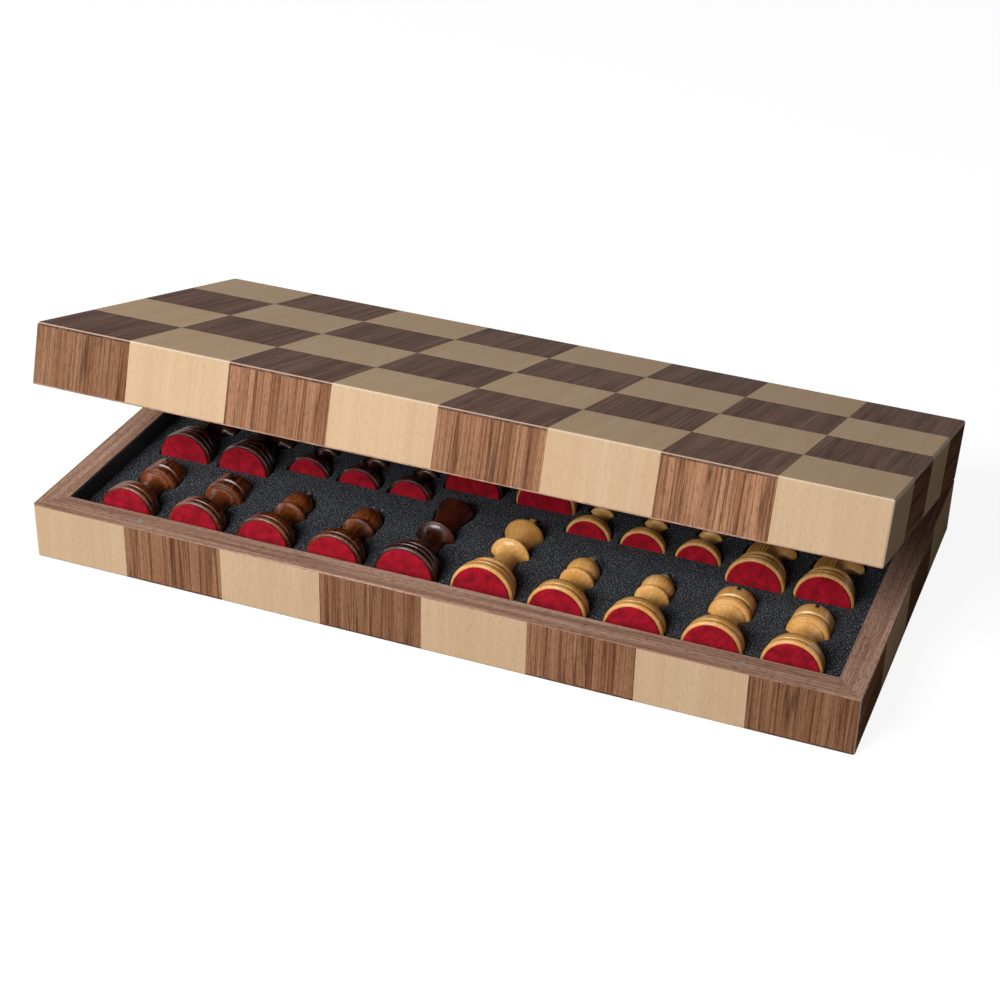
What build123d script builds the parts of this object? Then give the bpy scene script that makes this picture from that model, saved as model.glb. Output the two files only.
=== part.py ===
"""Folding chess case: two hinged half boxes, checkered outside, with 32 pieces bedded in foam.

The case stands on the tray's underside. +X runs along the hinge, +Y to the hinge at the back, +Z up.
The lid is built closed, as the tray's mirror image, and then turned up to the angle it rests at.
"""

import os
from dataclasses import dataclass
from math import cos, radians, sin

from build123d import *

# Board: six inner squares and two trimmed ones along each full edge
SQUARE = 48.0
EDGE_SQUARE = 46.5
COLUMNS = 8
ROWS = 4
LENGTH = (COLUMNS - 2) * SQUARE + 2 * EDGE_SQUARE
DEPTH = (ROWS - 1) * SQUARE + EDGE_SQUARE

# Half box
HALF_HEIGHT = 28.0
WALL = 12.0
PANEL = 4.0
VENEER = 1.5
RIM_LIP = 0.7
EDGE_ROUND = 1.2
RIM_ROUND = 0.4
PART_GAP = 0.2
LID_REST = 17.3

# Hinges, screws and magnets
HINGE_X = 120.0
HINGE_WIDTH = 32.0
HINGE_SETBACK = 0.2
LEAF_REACH = 9.5
LEAF_THICK = 1.2
KNUCKLE_RADIUS = 2.2
KNUCKLE_GAP = 0.3
MIDDLE_KNUCKLE = 10.0
RELIEF_GAP = 0.4
PIN_RADIUS = 0.75
PIN_GAP = 0.05
SCREW_SPACING = 20.0
SCREW_LENGTH = 8.0
SCREW_RADIUS = 1.0
SCREW_HEAD_RADIUS = 1.9
SCREW_HEAD = 0.9
SCREW_SLOT = 0.5
MAGNET_X = 139.0
MAGNET_RADIUS = 1.5
MAGNET_DEPTH = 3.0
FIT_GAP = 0.05

# Lining and foam
LINING = 0.5
LINING_DROP = 0.6
FOAM_GAP = 0.2
FOAM_THICK = 14.5
LID_PAD = 4.0

# Chess pieces: the share of its square that each base covers sizes the piece
ROOK_COVER = 0.5625
BISHOP_COVER = 0.5625
KNIGHT_COVER = 0.5625
ROYAL_COVER = 0.604
PAWN_COVER = 0.4583
BASE_BEVEL = 0.8
FELT_THICK = 1.0
FELT_INSET = 1.2
TILT = 2.0
BED_GAP = 0.3
POCKET_GAP = 1.0

# Knight's carving, rook's battlements and king's cross
HEAD_THICK = 10.8
HEAD_ROUND = 1.35
MANE_CUTS = 7
MANE_CUT_RADIUS = 0.675
BATTLEMENT_CUTS = 2
BATTLEMENT_WIDTH = 1.6
BATTLEMENT_DEPTH = 2.4
CROSS_HEIGHT = 8.0
CROSS_SPAN = 8.0
CROSS_BAR = 2.6
CROSS_THICK = 3.0

# Layout of the bed, in squares: files out from the middle, and the rows' base faces
ROYAL_FILE = 0.375
FRONT_STEP = 0.719
PAWN_FILE = 0.917
PAWN_STEP = 0.542
KNIGHT_FILES = (2.604, 3.25)
FRONT_ROW = -1.521
KNIGHT_ROW = -0.375
PAWN_ROW = -0.156
ROYAL_ROW = 0.146
BACK_ROW = 0.833

# Sizes that follow
ROOK_BASE = ROOK_COVER * SQUARE / 2
BISHOP_BASE = BISHOP_COVER * SQUARE / 2
KNIGHT_BASE = KNIGHT_COVER * SQUARE / 2
ROYAL_BASE = ROYAL_COVER * SQUARE / 2
PAWN_BASE = PAWN_COVER * SQUARE / 2
X_END = LENGTH / 2
Y_END = DEPTH / 2
X_IN = X_END - WALL
Y_IN = Y_END - WALL
PART_Z = HALF_HEIGHT + PART_GAP / 2
HINGE_Y = Y_END + HINGE_SETBACK
FLOOR = PANEL + LINING
FOAM_TOP = FLOOR + FOAM_THICK
PARTING = Plane.XY.offset(PART_Z)
HINGE_AXIS = Axis((0, HINGE_Y, PART_Z), (1, 0, 0))


def block(x, y, z):
    """A box between two values on each axis."""
    size = [high - low for low, high in (x, y, z)]
    middle = [(high + low) / 2 for low, high in (x, y, z)]
    return Pos(*middle) * Box(*size)


def group(solids):
    """Separate solids that share one node."""
    return Compound(children=list(solids))


def lines_of(count, first, last):
    """The seams between squares along one edge of a half board."""
    widths = [first] + [SQUARE] * (count - 2) + [last]
    start = -sum(widths) / 2
    return [start + sum(widths[:k]) for k in range(count + 1)]


COLUMN_SEAMS = lines_of(COLUMNS, EDGE_SQUARE, EDGE_SQUARE)
ROW_SEAMS = lines_of(ROWS, EDGE_SQUARE, SQUARE)


def envelope():
    """The softened outside of one half box."""
    body = block((-X_END, X_END), (-Y_END, Y_END), (0, HALF_HEIGHT))
    rim = body.edges().group_by(Axis.Z)[-1]
    body = fillet(body.edges() - rim, EDGE_ROUND)
    return fillet(body.edges().group_by(Axis.Z)[-1], RIM_ROUND)


def hinge_relief():
    """The round clearance that the hinge barrels need in both back walls."""
    radius = KNUCKLE_RADIUS + RELIEF_GAP
    rod = Rot(0, 90, 0) * Cylinder(radius, HINGE_WIDTH + 2 * KNUCKLE_GAP)
    return [Pos(side * HINGE_X, HINGE_Y, PART_Z) * rod for side in (-1, 1)]


def screw_points():
    """Where the hinge screws stand in plan."""
    y = HINGE_Y - (LEAF_REACH + KNUCKLE_RADIUS) / 2
    return [
        (side * HINGE_X + end * SCREW_SPACING / 2, y)
        for side in (-1, 1)
        for end in (-1, 1)
    ]


def screw(gap=0.0):
    """A countersunk screw, head upward with its top at zero, or the hole it needs."""
    head = Pos(0, 0, -SCREW_HEAD / 2) * Cone(
        SCREW_RADIUS + gap, SCREW_HEAD_RADIUS + gap, SCREW_HEAD
    )
    shank = Pos(0, 0, -SCREW_LENGTH / 2) * Cylinder(SCREW_RADIUS + gap, SCREW_LENGTH + gap)
    return head + shank


def square_veneers(outside, walnut):
    """The squares of one colour on the flat panel."""
    squares = []
    for i in range(COLUMNS):
        for j in range(ROWS):
            if (i + j) % 2 == walnut:
                x = (COLUMN_SEAMS[i], COLUMN_SEAMS[i + 1])
                y = (ROW_SEAMS[j], ROW_SEAMS[j + 1])
                squares.append(outside & block(x, y, (0, VENEER)))
    return squares


def edge_veneers(outside, walnut):
    """The pieces of one colour around the sides, each continuing the square beside it."""
    height = (VENEER, HALF_HEIGHT - RIM_LIP)
    pieces = []
    for i in range(COLUMNS):
        x = (COLUMN_SEAMS[i], COLUMN_SEAMS[i + 1])
        if i % 2 == walnut:
            pieces.append(block(x, (-Y_END, -Y_END + VENEER), height))
        if (i + ROWS - 1) % 2 == walnut:
            pieces.append(block(x, (Y_END - VENEER, Y_END), height))
    inner = Y_END - VENEER
    for j in range(ROWS):
        y = (max(ROW_SEAMS[j], -inner), min(ROW_SEAMS[j + 1], inner))
        if j % 2 == walnut:
            pieces.append(block((-X_END, -X_END + VENEER), y, height))
        if (j + COLUMNS - 1) % 2 == walnut:
            pieces.append(block((X_END - VENEER, X_END), y, height))
    relief = hinge_relief()
    return [(outside & piece) - relief for piece in pieces]


def wall(length, half_width):
    """A mitred wall along X with its outer face at -half_width, lipped over the veneer's edge."""
    low = PANEL
    high = HALF_HEIGHT
    outer = -half_width
    section = Polyline(
        (outer + VENEER, low),
        (outer + WALL, low),
        (outer + WALL, high),
        (outer, high),
        (outer, high - RIM_LIP),
        (outer + VENEER, high - RIM_LIP),
        close=True,
    )
    board = extrude(make_face(Plane.YZ * section), length / 2, both=True)
    reach = length / 2
    mitre = Polyline(
        (-reach, outer),
        (reach, outer),
        (reach - WALL, outer + WALL),
        (WALL - reach, outer + WALL),
        close=True,
    )
    return board & extrude(make_face(mitre), high)


def lining():
    """Thin black lining on the panel and on the four inner wall faces."""
    inner = Y_IN - LINING
    top = HALF_HEIGHT - LINING_DROP
    strips = [block((-X_IN, X_IN), (-Y_IN, Y_IN), (PANEL, FLOOR))]
    for side in (-1, 1):
        y = sorted((side * Y_IN, side * inner))
        x = sorted((side * X_IN, side * (X_IN - LINING)))
        strips.append(block((-X_IN, X_IN), y, (FLOOR, top)))
        strips.append(block(x, (-inner, inner), (FLOOR, top)))
    return strips


def half_box(walnut):
    """Every fixed wooden piece of one half, standing on its checkered face."""
    outside = envelope()
    leaf = leaf_plate(HINGE_Y, FIT_GAP)
    holes = [Pos(x, y, HALF_HEIGHT) * screw(FIT_GAP) for x, y in screw_points()]
    cup = Cylinder(MAGNET_RADIUS + FIT_GAP, MAGNET_DEPTH + FIT_GAP)
    cups = [Pos(x, y, HALF_HEIGHT - MAGNET_DEPTH / 2) * cup for x, y in magnet_points()]
    front = outside & wall(LENGTH, Y_END)
    side = outside & Rot(0, 0, 90) * wall(DEPTH, X_END)
    back = Rot(0, 0, 180) * front
    core_x = X_END - VENEER
    core_y = Y_END - VENEER
    return {
        "panel": block((-core_x, core_x), (-core_y, core_y), (VENEER, PANEL)),
        "front_wall": front - cups,
        "back_wall": back - leaf - holes - hinge_relief(),
        "right_wall": side,
        "left_wall": Rot(0, 0, 180) * side,
        "walnut_squares": group(square_veneers(outside, walnut)),
        "maple_squares": group(square_veneers(outside, 1 - walnut)),
        "edge_veneers": group(edge_veneers(outside, walnut) + edge_veneers(outside, 1 - walnut)),
    }


def leaf_plate(back, gap=0.0):
    """The two flat hinge leaves let into a rim up to a line at the back, or the recesses they need."""
    z = (HALF_HEIGHT - LEAF_THICK, HALF_HEIGHT + gap)
    y = (HINGE_Y - LEAF_REACH - gap, back)
    half = HINGE_WIDTH / 2 + gap
    return [block((s * HINGE_X - half, s * HINGE_X + half), y, z) for s in (-1, 1)]


def hinge_leaves(knuckles):
    """Both leaves of one half with their knuckles, bored for the pin."""
    z = (HALF_HEIGHT - LEAF_THICK, HALF_HEIGHT)
    clear = HINGE_Y - KNUCKLE_RADIUS - RELIEF_GAP
    tab_y = (clear, HINGE_Y)
    leaves = []
    for plate, side in zip(leaf_plate(clear), (-1, 1)):
        for low, high in knuckles:
            length = high - low
            middle = side * HINGE_X + (low + high) / 2
            barrel = Rot(0, 90, 0) * Cylinder(KNUCKLE_RADIUS, length)
            plate += Pos(middle, HINGE_Y, PART_Z) * barrel
            plate += block((middle - length / 2, middle + length / 2), tab_y, z)
        bore = Rot(0, 90, 0) * Cylinder(PIN_RADIUS + PIN_GAP, 2 * HINGE_WIDTH)
        plate -= Pos(side * HINGE_X, HINGE_Y, PART_Z) * bore
        for x, y in screw_points():
            plate -= Pos(x, y, HALF_HEIGHT) * screw(FIT_GAP)
        leaves.append(plate)
    return leaves


def hinge_screws():
    """The four slotted screws that hold one half's leaves."""
    slot = Box(2 * SCREW_HEAD_RADIUS, SCREW_SLOT, SCREW_SLOT)
    body = screw() - slot
    return [Pos(x, y, HALF_HEIGHT) * body for x, y in screw_points()]


def magnet_points():
    """Where the closing magnets sit in the front rim."""
    return [(side * MAGNET_X, WALL / 2 - Y_END) for side in (-1, 1)]


def magnets():
    """The pair of disc magnets, flush with the rim."""
    disc = Cylinder(MAGNET_RADIUS, MAGNET_DEPTH - FIT_GAP)
    z = HALF_HEIGHT - (MAGNET_DEPTH - FIT_GAP) / 2 - FIT_GAP
    return [Pos(x, y, z) * disc for x, y in magnet_points()]


@dataclass(frozen=True)
class Pattern:
    """A chess piece's pattern, in base radii.

    name: what the piece is called
    base: radius of its base in millimetres
    outline: steps up the turned side as (radius, height), or as an arc through a first pair
    pocket: steps along the foam pocket as (half width, distance from the base)
    """

    name: str
    base: float
    outline: tuple
    pocket: tuple

    def body(self):
        """The turned wood, upright, above its felt."""
        foot = FELT_THICK
        pen = (0.0, foot)
        sides = []
        rim = [(self.base - BASE_BEVEL, foot), (self.base, foot + BASE_BEVEL)]
        for step in rim + [tuple(v * self.base for v in step) for step in self.outline]:
            end = step[-2:]
            if len(step) == 4:
                sides.append(ThreePointArc(pen, step[:2], end))
            else:
                sides.append(Line(pen, end))
            pen = end
        sides.append(Line(pen, (0.0, foot)))
        return revolve(make_face(Plane.XZ * Curve(sides)), Axis.Z)

    def felt(self):
        """The felt disc under the base."""
        return Pos(0, 0, FELT_THICK / 2) * Cylinder(self.base - FELT_INSET, FELT_THICK)

    def hollow(self):
        """The through cut that the piece lies in, base at zero and running along +Y."""
        start = -self.base * sin(radians(TILT)) - POCKET_GAP
        first = self.pocket[0][0] * self.base + POCKET_GAP
        right = [(first, start)]
        for half, along in self.pocket:
            right.append((half * self.base + POCKET_GAP, along * self.base))
        last = right[-1]
        right[-1] = (last[0], last[1] + POCKET_GAP)
        left = [(-x, y) for x, y in reversed(right)]
        return extrude(make_face(Polyline(*right, *left, close=True)), FOAM_TOP)

    def rest_height(self):
        """Height of the base's centre when its rim lies over the lined floor."""
        band = self.outline[0][1] * self.base
        return FLOOR + BED_GAP + self.base * cos(radians(TILT)) + band * sin(radians(TILT))


# Foot shared by the minor pieces: band, groove and bell down to the stem
FOOT = ((1.0, 0.26), (0.925, 0.29), (0.925, 0.345), (0.965, 0.37), (0.955, 0.6, 0.79, 0.9))

ROOK_OUTLINE = FOOT + (
    (0.563, 1.1, 0.44, 1.46),
    (0.43, 1.68),
    (0.45, 1.9, 0.55, 2.03),
    (0.56, 2.08),
    (0.68, 2.1),
    (0.725, 2.24, 0.69, 2.38),
    (0.63, 2.41),
    (0.63, 2.47),
    (0.7, 2.5),
    (0.69, 3.0),
    (0.474, 3.0),
    (0.474, 2.77),
    (0.0, 2.74),
)
ROOK_POCKET = ((1.0, 1.0), (0.68, 1.25), (0.58, 1.85), (0.73, 2.05), (0.73, 3.0))

BISHOP_OUTLINE = FOOT + (
    (0.548, 1.06, 0.415, 1.38),
    (0.393, 1.6),
    (0.43, 1.83, 0.59, 2.04),
    (0.605, 2.1),
    (0.54, 2.2, 0.43, 2.23),
    (0.43, 2.29),
    (0.575, 2.7, 0.36, 3.17),
    (0.22, 3.3, 0.12, 3.37),
    (0.15, 3.43),
    (0.185, 3.55, 0.04, 3.66),
    (0.0, 3.66),
)
BISHOP_POCKET = ((1.0, 1.0), (0.66, 1.25), (0.62, 1.9), (0.62, 2.3), (0.59, 2.5), (0.57, 3.15), (0.3, 3.66))

ROYAL_FOOT = (
    (1.0, 0.27),
    (0.93, 0.3),
    (0.93, 0.35),
    (0.965, 0.37),
    (0.938, 0.524, 0.8, 0.66),
    (0.765, 0.68),
    (0.765, 0.715),
    (0.85, 0.815, 0.78, 0.924),
    (0.524, 1.255, 0.386, 1.75),
    (0.352, 2.15),
    (0.407, 2.34, 0.63, 2.49),
    (0.64, 2.55),
    (0.56, 2.64, 0.46, 2.68),
    (0.44, 2.73),
    (0.47, 2.79),
    (0.4, 2.83),
)
KING_OUTLINE = ROYAL_FOOT + (
    (0.45, 3.2, 0.65, 3.72),
    (0.65, 3.78),
    (0.46, 4.0, 0.16, 4.1),
    (0.12, 4.14),
    (0.0, 4.14),
)
QUEEN_OUTLINE = ROYAL_FOOT + (
    (0.46, 3.44, 0.65, 4.12),
    (0.62, 4.17),
    (0.5, 4.14),
    (0.165, 4.225),
    (0.11, 4.252),
    (0.152, 4.349, 0.03, 4.428),
    (0.0, 4.428),
)
ROYAL_POCKET = (
    (1.0, 0.8),
    (0.86, 1.0),
    (0.6, 1.4),
    (0.5, 2.05),
    (0.66, 2.3),
    (0.66, 2.7),
    (0.54, 2.95),
    (0.67, 3.6),
    (0.67, 4.2),
    (0.3, 4.45),
    (0.3, 4.72),
)

PAWN_OUTLINE = (
    (1.0, 0.29),
    (0.92, 0.32),
    (0.92, 0.375),
    (0.955, 0.4),
    (0.925, 0.6, 0.762, 0.838),
    (0.514, 1.038, 0.41, 1.429),
    (0.381, 1.752),
    (0.419, 1.886, 0.571, 1.962),
    (0.59, 2.029),
    (0.514, 2.114, 0.4, 2.152),
    (0.343, 2.2),
    (0.6, 2.695, 0.05, 3.293),
    (0.0, 3.293),
)
PAWN_POCKET = ((1.0, 0.9), (0.6, 1.2), (0.62, 2.9), (0.36, 3.3))

KNIGHT_OUTLINE = (
    (1.0, 0.26),
    (0.925, 0.29),
    (0.925, 0.345),
    (0.965, 0.37),
    (0.94, 0.53, 0.83, 0.68),
    (0.8, 0.7),
    (0.8, 0.735),
    (0.87, 0.85, 0.83, 0.97),
    (0.78, 1.0),
    (0.78, 1.1),
    (0.0, 1.1),
)
KNIGHT_POCKET = ((1.0, 0.6), (0.92, 1.2), (0.92, 2.9), (0.4, 3.55))

ROOK = Pattern("rook", ROOK_BASE, ROOK_OUTLINE, ROOK_POCKET)
BISHOP = Pattern("bishop", BISHOP_BASE, BISHOP_OUTLINE, BISHOP_POCKET)
KING = Pattern("king", ROYAL_BASE, KING_OUTLINE, ROYAL_POCKET)
QUEEN = Pattern("queen", ROYAL_BASE, QUEEN_OUTLINE, ROYAL_POCKET)
PAWN = Pattern("pawn", PAWN_BASE, PAWN_OUTLINE, PAWN_POCKET)
KNIGHT = Pattern("knight", KNIGHT_BASE, KNIGHT_OUTLINE, KNIGHT_POCKET)

# Knight's head in side view, in base radii: the mane up the back, then ear, face and chest
HEAD_BACK = ((-0.68, 1.1), (-0.79, 1.7), (-0.76, 2.35), (-0.52, 2.95), (-0.18, 3.3))
HEAD_EAR = ((-0.02, 3.52), (0.12, 3.26))
HEAD_FACE = ((0.12, 3.26), (0.42, 3.0), (0.68, 2.7), (0.86, 2.44), (0.88, 2.3), (0.76, 2.18))
HEAD_JAW = ((0.62, 2.18), (0.42, 2.24), (0.3, 2.1))
HEAD_CHEST = ((0.3, 2.1), (0.4, 1.82), (0.58, 1.46), (0.66, 1.1))


def knight_head():
    """The carved head, facing +X, that stands on the knight's turned foot."""
    size = KNIGHT_BASE

    def scaled(points):
        return [(x * size, z * size) for x, z in points]

    back = scaled(HEAD_BACK)
    ear = scaled(HEAD_EAR)
    face = scaled(HEAD_FACE)
    jaw = scaled(HEAD_JAW)
    chest = scaled(HEAD_CHEST)
    sides = [
        Spline(*back),
        Polyline(back[-1], *ear),
        Spline(*face),
        Polyline(face[-1], *jaw),
        Spline(*chest),
        Line(chest[-1], back[0]),
    ]
    outline = make_face(Plane.XZ * Curve(sides))
    head = extrude(outline, HEAD_THICK / 2, both=True)
    flanks = head.edges().group_by(Axis.Y)
    head = fillet(flanks[0] + flanks[-1] - head.edges().group_by(Axis.Z)[0], HEAD_ROUND)
    rod = Rot(90, 0, 0) * Cylinder(MANE_CUT_RADIUS, 2 * HEAD_THICK)
    mane = Plane.XZ * Spline(*back)
    cuts = [mane @ ((k + 1) / (MANE_CUTS + 1)) for k in range(MANE_CUTS)]
    return head - [Pos(*point) * rod for point in cuts]


def rook_body():
    """The rook's turned body with its battlements cut."""
    cut = Box(3 * ROOK_BASE, BATTLEMENT_WIDTH, 2 * BATTLEMENT_DEPTH)
    top = ROOK_OUTLINE[-3][1] * ROOK_BASE
    turns = [Pos(0, 0, top) * Rot(0, 0, 180 / BATTLEMENT_CUTS * k) * cut for k in range(BATTLEMENT_CUTS)]
    return ROOK.body() - turns


def king_cross():
    """The small cross let onto the king's top."""
    half = CROSS_BAR / 2
    deep = CROSS_THICK / 2
    low = KING_OUTLINE[-1][1] * ROYAL_BASE
    high = low + CROSS_HEIGHT
    bar = low + 0.6 * CROSS_HEIGHT
    span = CROSS_SPAN / 2
    post = block((-deep, deep), (-half, half), (low, high))
    return post + block((-deep, deep), (-span, span), (bar - half, bar + half))


def solids_of(pattern):
    """The separate solids of one piece, upright on its felt."""
    if pattern is ROOK:
        return [rook_body(), pattern.felt()]
    if pattern is KNIGHT:
        return [pattern.body(), knight_head(), pattern.felt()]
    if pattern is KING:
        return [pattern.body(), king_cross(), pattern.felt()]
    return [pattern.body(), pattern.felt()]


def front_file(column):
    """File of the front row, counted out from the middle."""
    return ROYAL_FILE + FRONT_STEP * column


def pawn_file(column):
    """File of the rows behind, counted out from the royals."""
    return PAWN_FILE + PAWN_STEP * column if column < 3 else KNIGHT_FILES[column - 3]


def layout():
    """Name, pattern, file line and base face of every piece in the bed."""
    places = []
    for colour, side, front, middle in (("dark", -1, QUEEN, KING), ("light", 1, KING, QUEEN)):

        def put(name, pattern, file, row):
            places.append((f"{colour}_{name}", pattern, side * file * SQUARE, row * SQUARE))

        put(front.name, front, ROYAL_FILE, FRONT_ROW)
        put(middle.name, middle, ROYAL_FILE, ROYAL_ROW)
        for k, letter in enumerate("ab"):
            put(f"bishop_{letter}", BISHOP, front_file(k + 1), FRONT_ROW)
            put(f"rook_{letter}", ROOK, front_file(k + 3), FRONT_ROW)
            put(f"knight_{letter}", KNIGHT, KNIGHT_FILES[k], KNIGHT_ROW)
        for k in range(8):
            file, row = (pawn_file(k), PAWN_ROW) if k < 3 else (pawn_file(k - 3), BACK_ROW)
            put(f"pawn_{k + 1}", PAWN, file, row)
    return places


def foam_insert(places):
    """The die-cut foam bed, open through to the lined floor at every piece."""
    x = X_IN - LINING - FOAM_GAP
    y = Y_IN - LINING - FOAM_GAP
    bed = block((-x, x), (-y, y), (FLOOR, FOAM_TOP))
    return bed - [Pos(at, base, 0) * pattern.hollow() for _, pattern, at, base in places]


def lid_pose(shape):
    """Mirror a tray piece onto the closed lid, then raise it to the angle it rests at."""
    return mirror(shape, about=PARTING).rotate(HINGE_AXIS, -LID_REST)


def build():
    """Every node by name."""
    places = layout()
    tray = half_box(walnut=1)
    lid = half_box(walnut=0)
    half = HINGE_WIDTH / 2
    inner = MIDDLE_KNUCKLE / 2
    pad_x = X_IN - LINING - FOAM_GAP
    pad_y = Y_IN - LINING - FOAM_GAP
    tray["lining"] = group(lining())
    lid["lining"] = group(lining())
    lid["foam_pad"] = block((-pad_x, pad_x), (-pad_y, pad_y), (FLOOR, FLOOR + LID_PAD))
    outer = [(-half, -inner - KNUCKLE_GAP), (inner + KNUCKLE_GAP, half)]
    tray["hinge_leaves"] = group(hinge_leaves(outer))
    lid["hinge_leaves"] = group(hinge_leaves([(-inner, inner)]))
    for box in (tray, lid):
        box["hinge_screws"] = group(hinge_screws())
        box["magnets"] = group(magnets())
    nodes = {f"tray_{name}": shape for name, shape in tray.items()}
    nodes.update({f"lid_{name}": lid_pose(shape) for name, shape in lid.items()})
    pin = Rot(0, 90, 0) * Cylinder(PIN_RADIUS, HINGE_WIDTH)
    nodes["hinge_pins"] = group(Pos(s * HINGE_X, HINGE_Y, PART_Z) * pin for s in (-1, 1))
    nodes["foam_insert"] = foam_insert(places)
    upright = {pattern.name: solids_of(pattern) for _, pattern, _, _ in places}
    for name, pattern, x, y in places:
        lie = Pos(x, y, pattern.rest_height()) * Rot(-90 - TILT, 0, 0)
        nodes[name] = group(lie * solid for solid in upright[pattern.name])
    return nodes


os.makedirs("parts", exist_ok=True)
for node, shape in build().items():
    export_step(shape, f"parts/{node}.step")
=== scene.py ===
"""Folding chess case with its bedded pieces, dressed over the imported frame.

Lengths in the classes are millimetres, as on a drawing. Meshes are in metres, in the frame's axes:
+X along the hinge, +Y to the hinge at the back, +Z up, with the tray's underside at zero.
"""

import logging
import math
from contextlib import contextmanager
from dataclasses import dataclass
from enum import Enum
from typing import Callable, Iterator, Sequence

import bmesh
import bpy
from bpy.types import Curve, Material, Node, NodeTree, Object
from mathutils import Matrix, Vector


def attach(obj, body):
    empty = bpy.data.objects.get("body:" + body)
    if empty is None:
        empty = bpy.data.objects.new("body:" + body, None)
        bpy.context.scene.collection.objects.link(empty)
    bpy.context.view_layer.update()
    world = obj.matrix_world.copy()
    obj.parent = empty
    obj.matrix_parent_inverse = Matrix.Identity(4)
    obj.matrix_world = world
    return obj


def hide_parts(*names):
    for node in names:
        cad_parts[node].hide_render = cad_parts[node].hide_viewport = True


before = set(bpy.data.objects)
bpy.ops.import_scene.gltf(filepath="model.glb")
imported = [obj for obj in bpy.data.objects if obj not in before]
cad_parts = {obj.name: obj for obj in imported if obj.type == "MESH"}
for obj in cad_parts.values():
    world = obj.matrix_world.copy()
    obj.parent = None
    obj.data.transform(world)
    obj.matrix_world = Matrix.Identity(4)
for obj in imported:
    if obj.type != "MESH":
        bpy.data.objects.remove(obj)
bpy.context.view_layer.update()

MM = 0.001
log = logging.getLogger("chess_case")

Point = tuple[float, float]
Outline = tuple[tuple[float, ...], ...]
Socket = bpy.types.NodeSocket


class Half(Enum):
    """The two halves of the case."""

    TRAY = "tray"
    LID = "lid"


class Colour(Enum):
    """The two sides of the game."""

    DARK = "dark"
    LIGHT = "light"


class Element(Enum):
    """What is selected on a mesh."""

    FACE = "faces"
    EDGE = "edges"


class Grain(Enum):
    """The way that the wood's grain runs."""

    ALONG_X = "x"
    ALONG_Y = "y"
    OVER_EDGE = "yz"

    def stretch(self, across: float, along: float) -> Vector:
        """Figures per metre on each axis, for a figure's width and length in millimetres."""
        sizes = [along if axis in self.value else across for axis in "xyz"]
        return Vector(1 / (size * MM) for size in sizes)


@dataclass(frozen=True)
class Case:
    """Sizes of the folding case.

    Args:
        length: outside length along the hinge.
        depth: outside depth of one half.
        height: height of one half.
        wall: wall thickness.
        floor: height of the bare panel's inner face.
        lining: thickness of the black lining.
        lining_drop: how far the lining stops under the rim.
        foam_gap: clearance round the foam.
        foam_thick: thickness of the bed.
        pad_thick: thickness of the lid's pad.
        square: side of a square.
        row_shift: how far the rows' seams stand from whole squares.
        hinge_y: the hinge line's distance behind the middle.
        part_z: the hinge line's height, between the rims.
        edge_round: rounding of the outer edges.
        lid_rest: angle in degrees that the lid stands open at.
    """

    length: float = 381.0
    depth: float = 190.5
    height: float = 28.0
    wall: float = 12.0
    floor: float = 4.0
    lining: float = 0.5
    lining_drop: float = 0.6
    foam_gap: float = 0.2
    foam_thick: float = 14.5
    pad_thick: float = 4.0
    square: float = 48.0
    row_shift: float = 0.7
    hinge_y: float = 95.45
    part_z: float = 28.1
    edge_round: float = 1.2
    lid_rest: float = 17.3

    def inner(self) -> Point:
        """Half the length and half the depth between the walls."""
        return self.length / 2 - self.wall, self.depth / 2 - self.wall

    def foam(self) -> Point:
        """Half the length and half the depth of the foam, clear of the lining."""
        half_x, half_y = (size - self.lining - self.foam_gap for size in self.inner())
        return half_x, half_y

    def lid_turn(self) -> Matrix:
        """The turn from the closed lid to the lid at rest."""
        to_hinge = Matrix.Translation(Vector((0, self.hinge_y, self.part_z)) * MM)
        return to_hinge @ Matrix.Rotation(math.radians(-self.lid_rest), 4, "X") @ to_hinge.inverted()

    def lid_pose(self) -> Matrix:
        """The way from a shape made in the tray to its twin in the lid at rest."""
        flip = Matrix.Translation((0, 0, 2 * self.part_z * MM)) @ Matrix.Scale(-1, 4, (0, 0, 1))
        return self.lid_turn() @ flip

    def closing(self, half: Half) -> Matrix:
        """The turn from a half at rest to the closed case."""
        return self.lid_turn().inverted() if half is Half.LID else Matrix.Identity(4)


CASE = Case()


def linear(code: str) -> tuple[float, float, float, float]:
    """Turn an sRGB hex colour into linear light.

    Args:
        code: the colour as "#rrggbb".

    Returns:
        Red, green, blue and full alpha.
    """
    parts = [int(code[k : k + 2], 16) / 255 for k in (1, 3, 5)]
    red, green, blue = (v / 12.92 if v <= 0.04045 else ((v + 0.055) / 1.055) ** 2.4 for v in parts)
    return red, green, blue, 1.0


def add_node(tree: NodeTree, kind: str, settings: dict | None = None, inputs: dict | None = None) -> Node:
    """Add a shader node with its settings and links.

    Args:
        tree: the node tree to add to.
        kind: the node's type, without the prefix that all shader nodes share.
        settings: properties of the node by name.
        inputs: sockets by name or index, each given a value, the output socket to link, or a node, whose
            first live output is linked.

    Returns:
        The new node.
    """
    made = tree.nodes.new(f"ShaderNode{kind}")
    for key, value in (settings or {}).items():
        setattr(made, key, value)
    for key, value in (inputs or {}).items():
        if isinstance(value, Node):
            value = next(socket for socket in value.outputs if socket.enabled)
        if isinstance(value, Socket):
            tree.links.new(value, made.inputs[key])
        else:
            made.inputs[key].default_value = value
    return made


def new_tree(name: str) -> tuple[Material, NodeTree]:
    """Make an empty node material.

    Args:
        name: the material's name.

    Returns:
        The material and its cleared tree.
    """
    material = bpy.data.materials.new(name)
    material.use_nodes = True
    material.node_tree.nodes.clear()
    return material, material.node_tree


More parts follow.
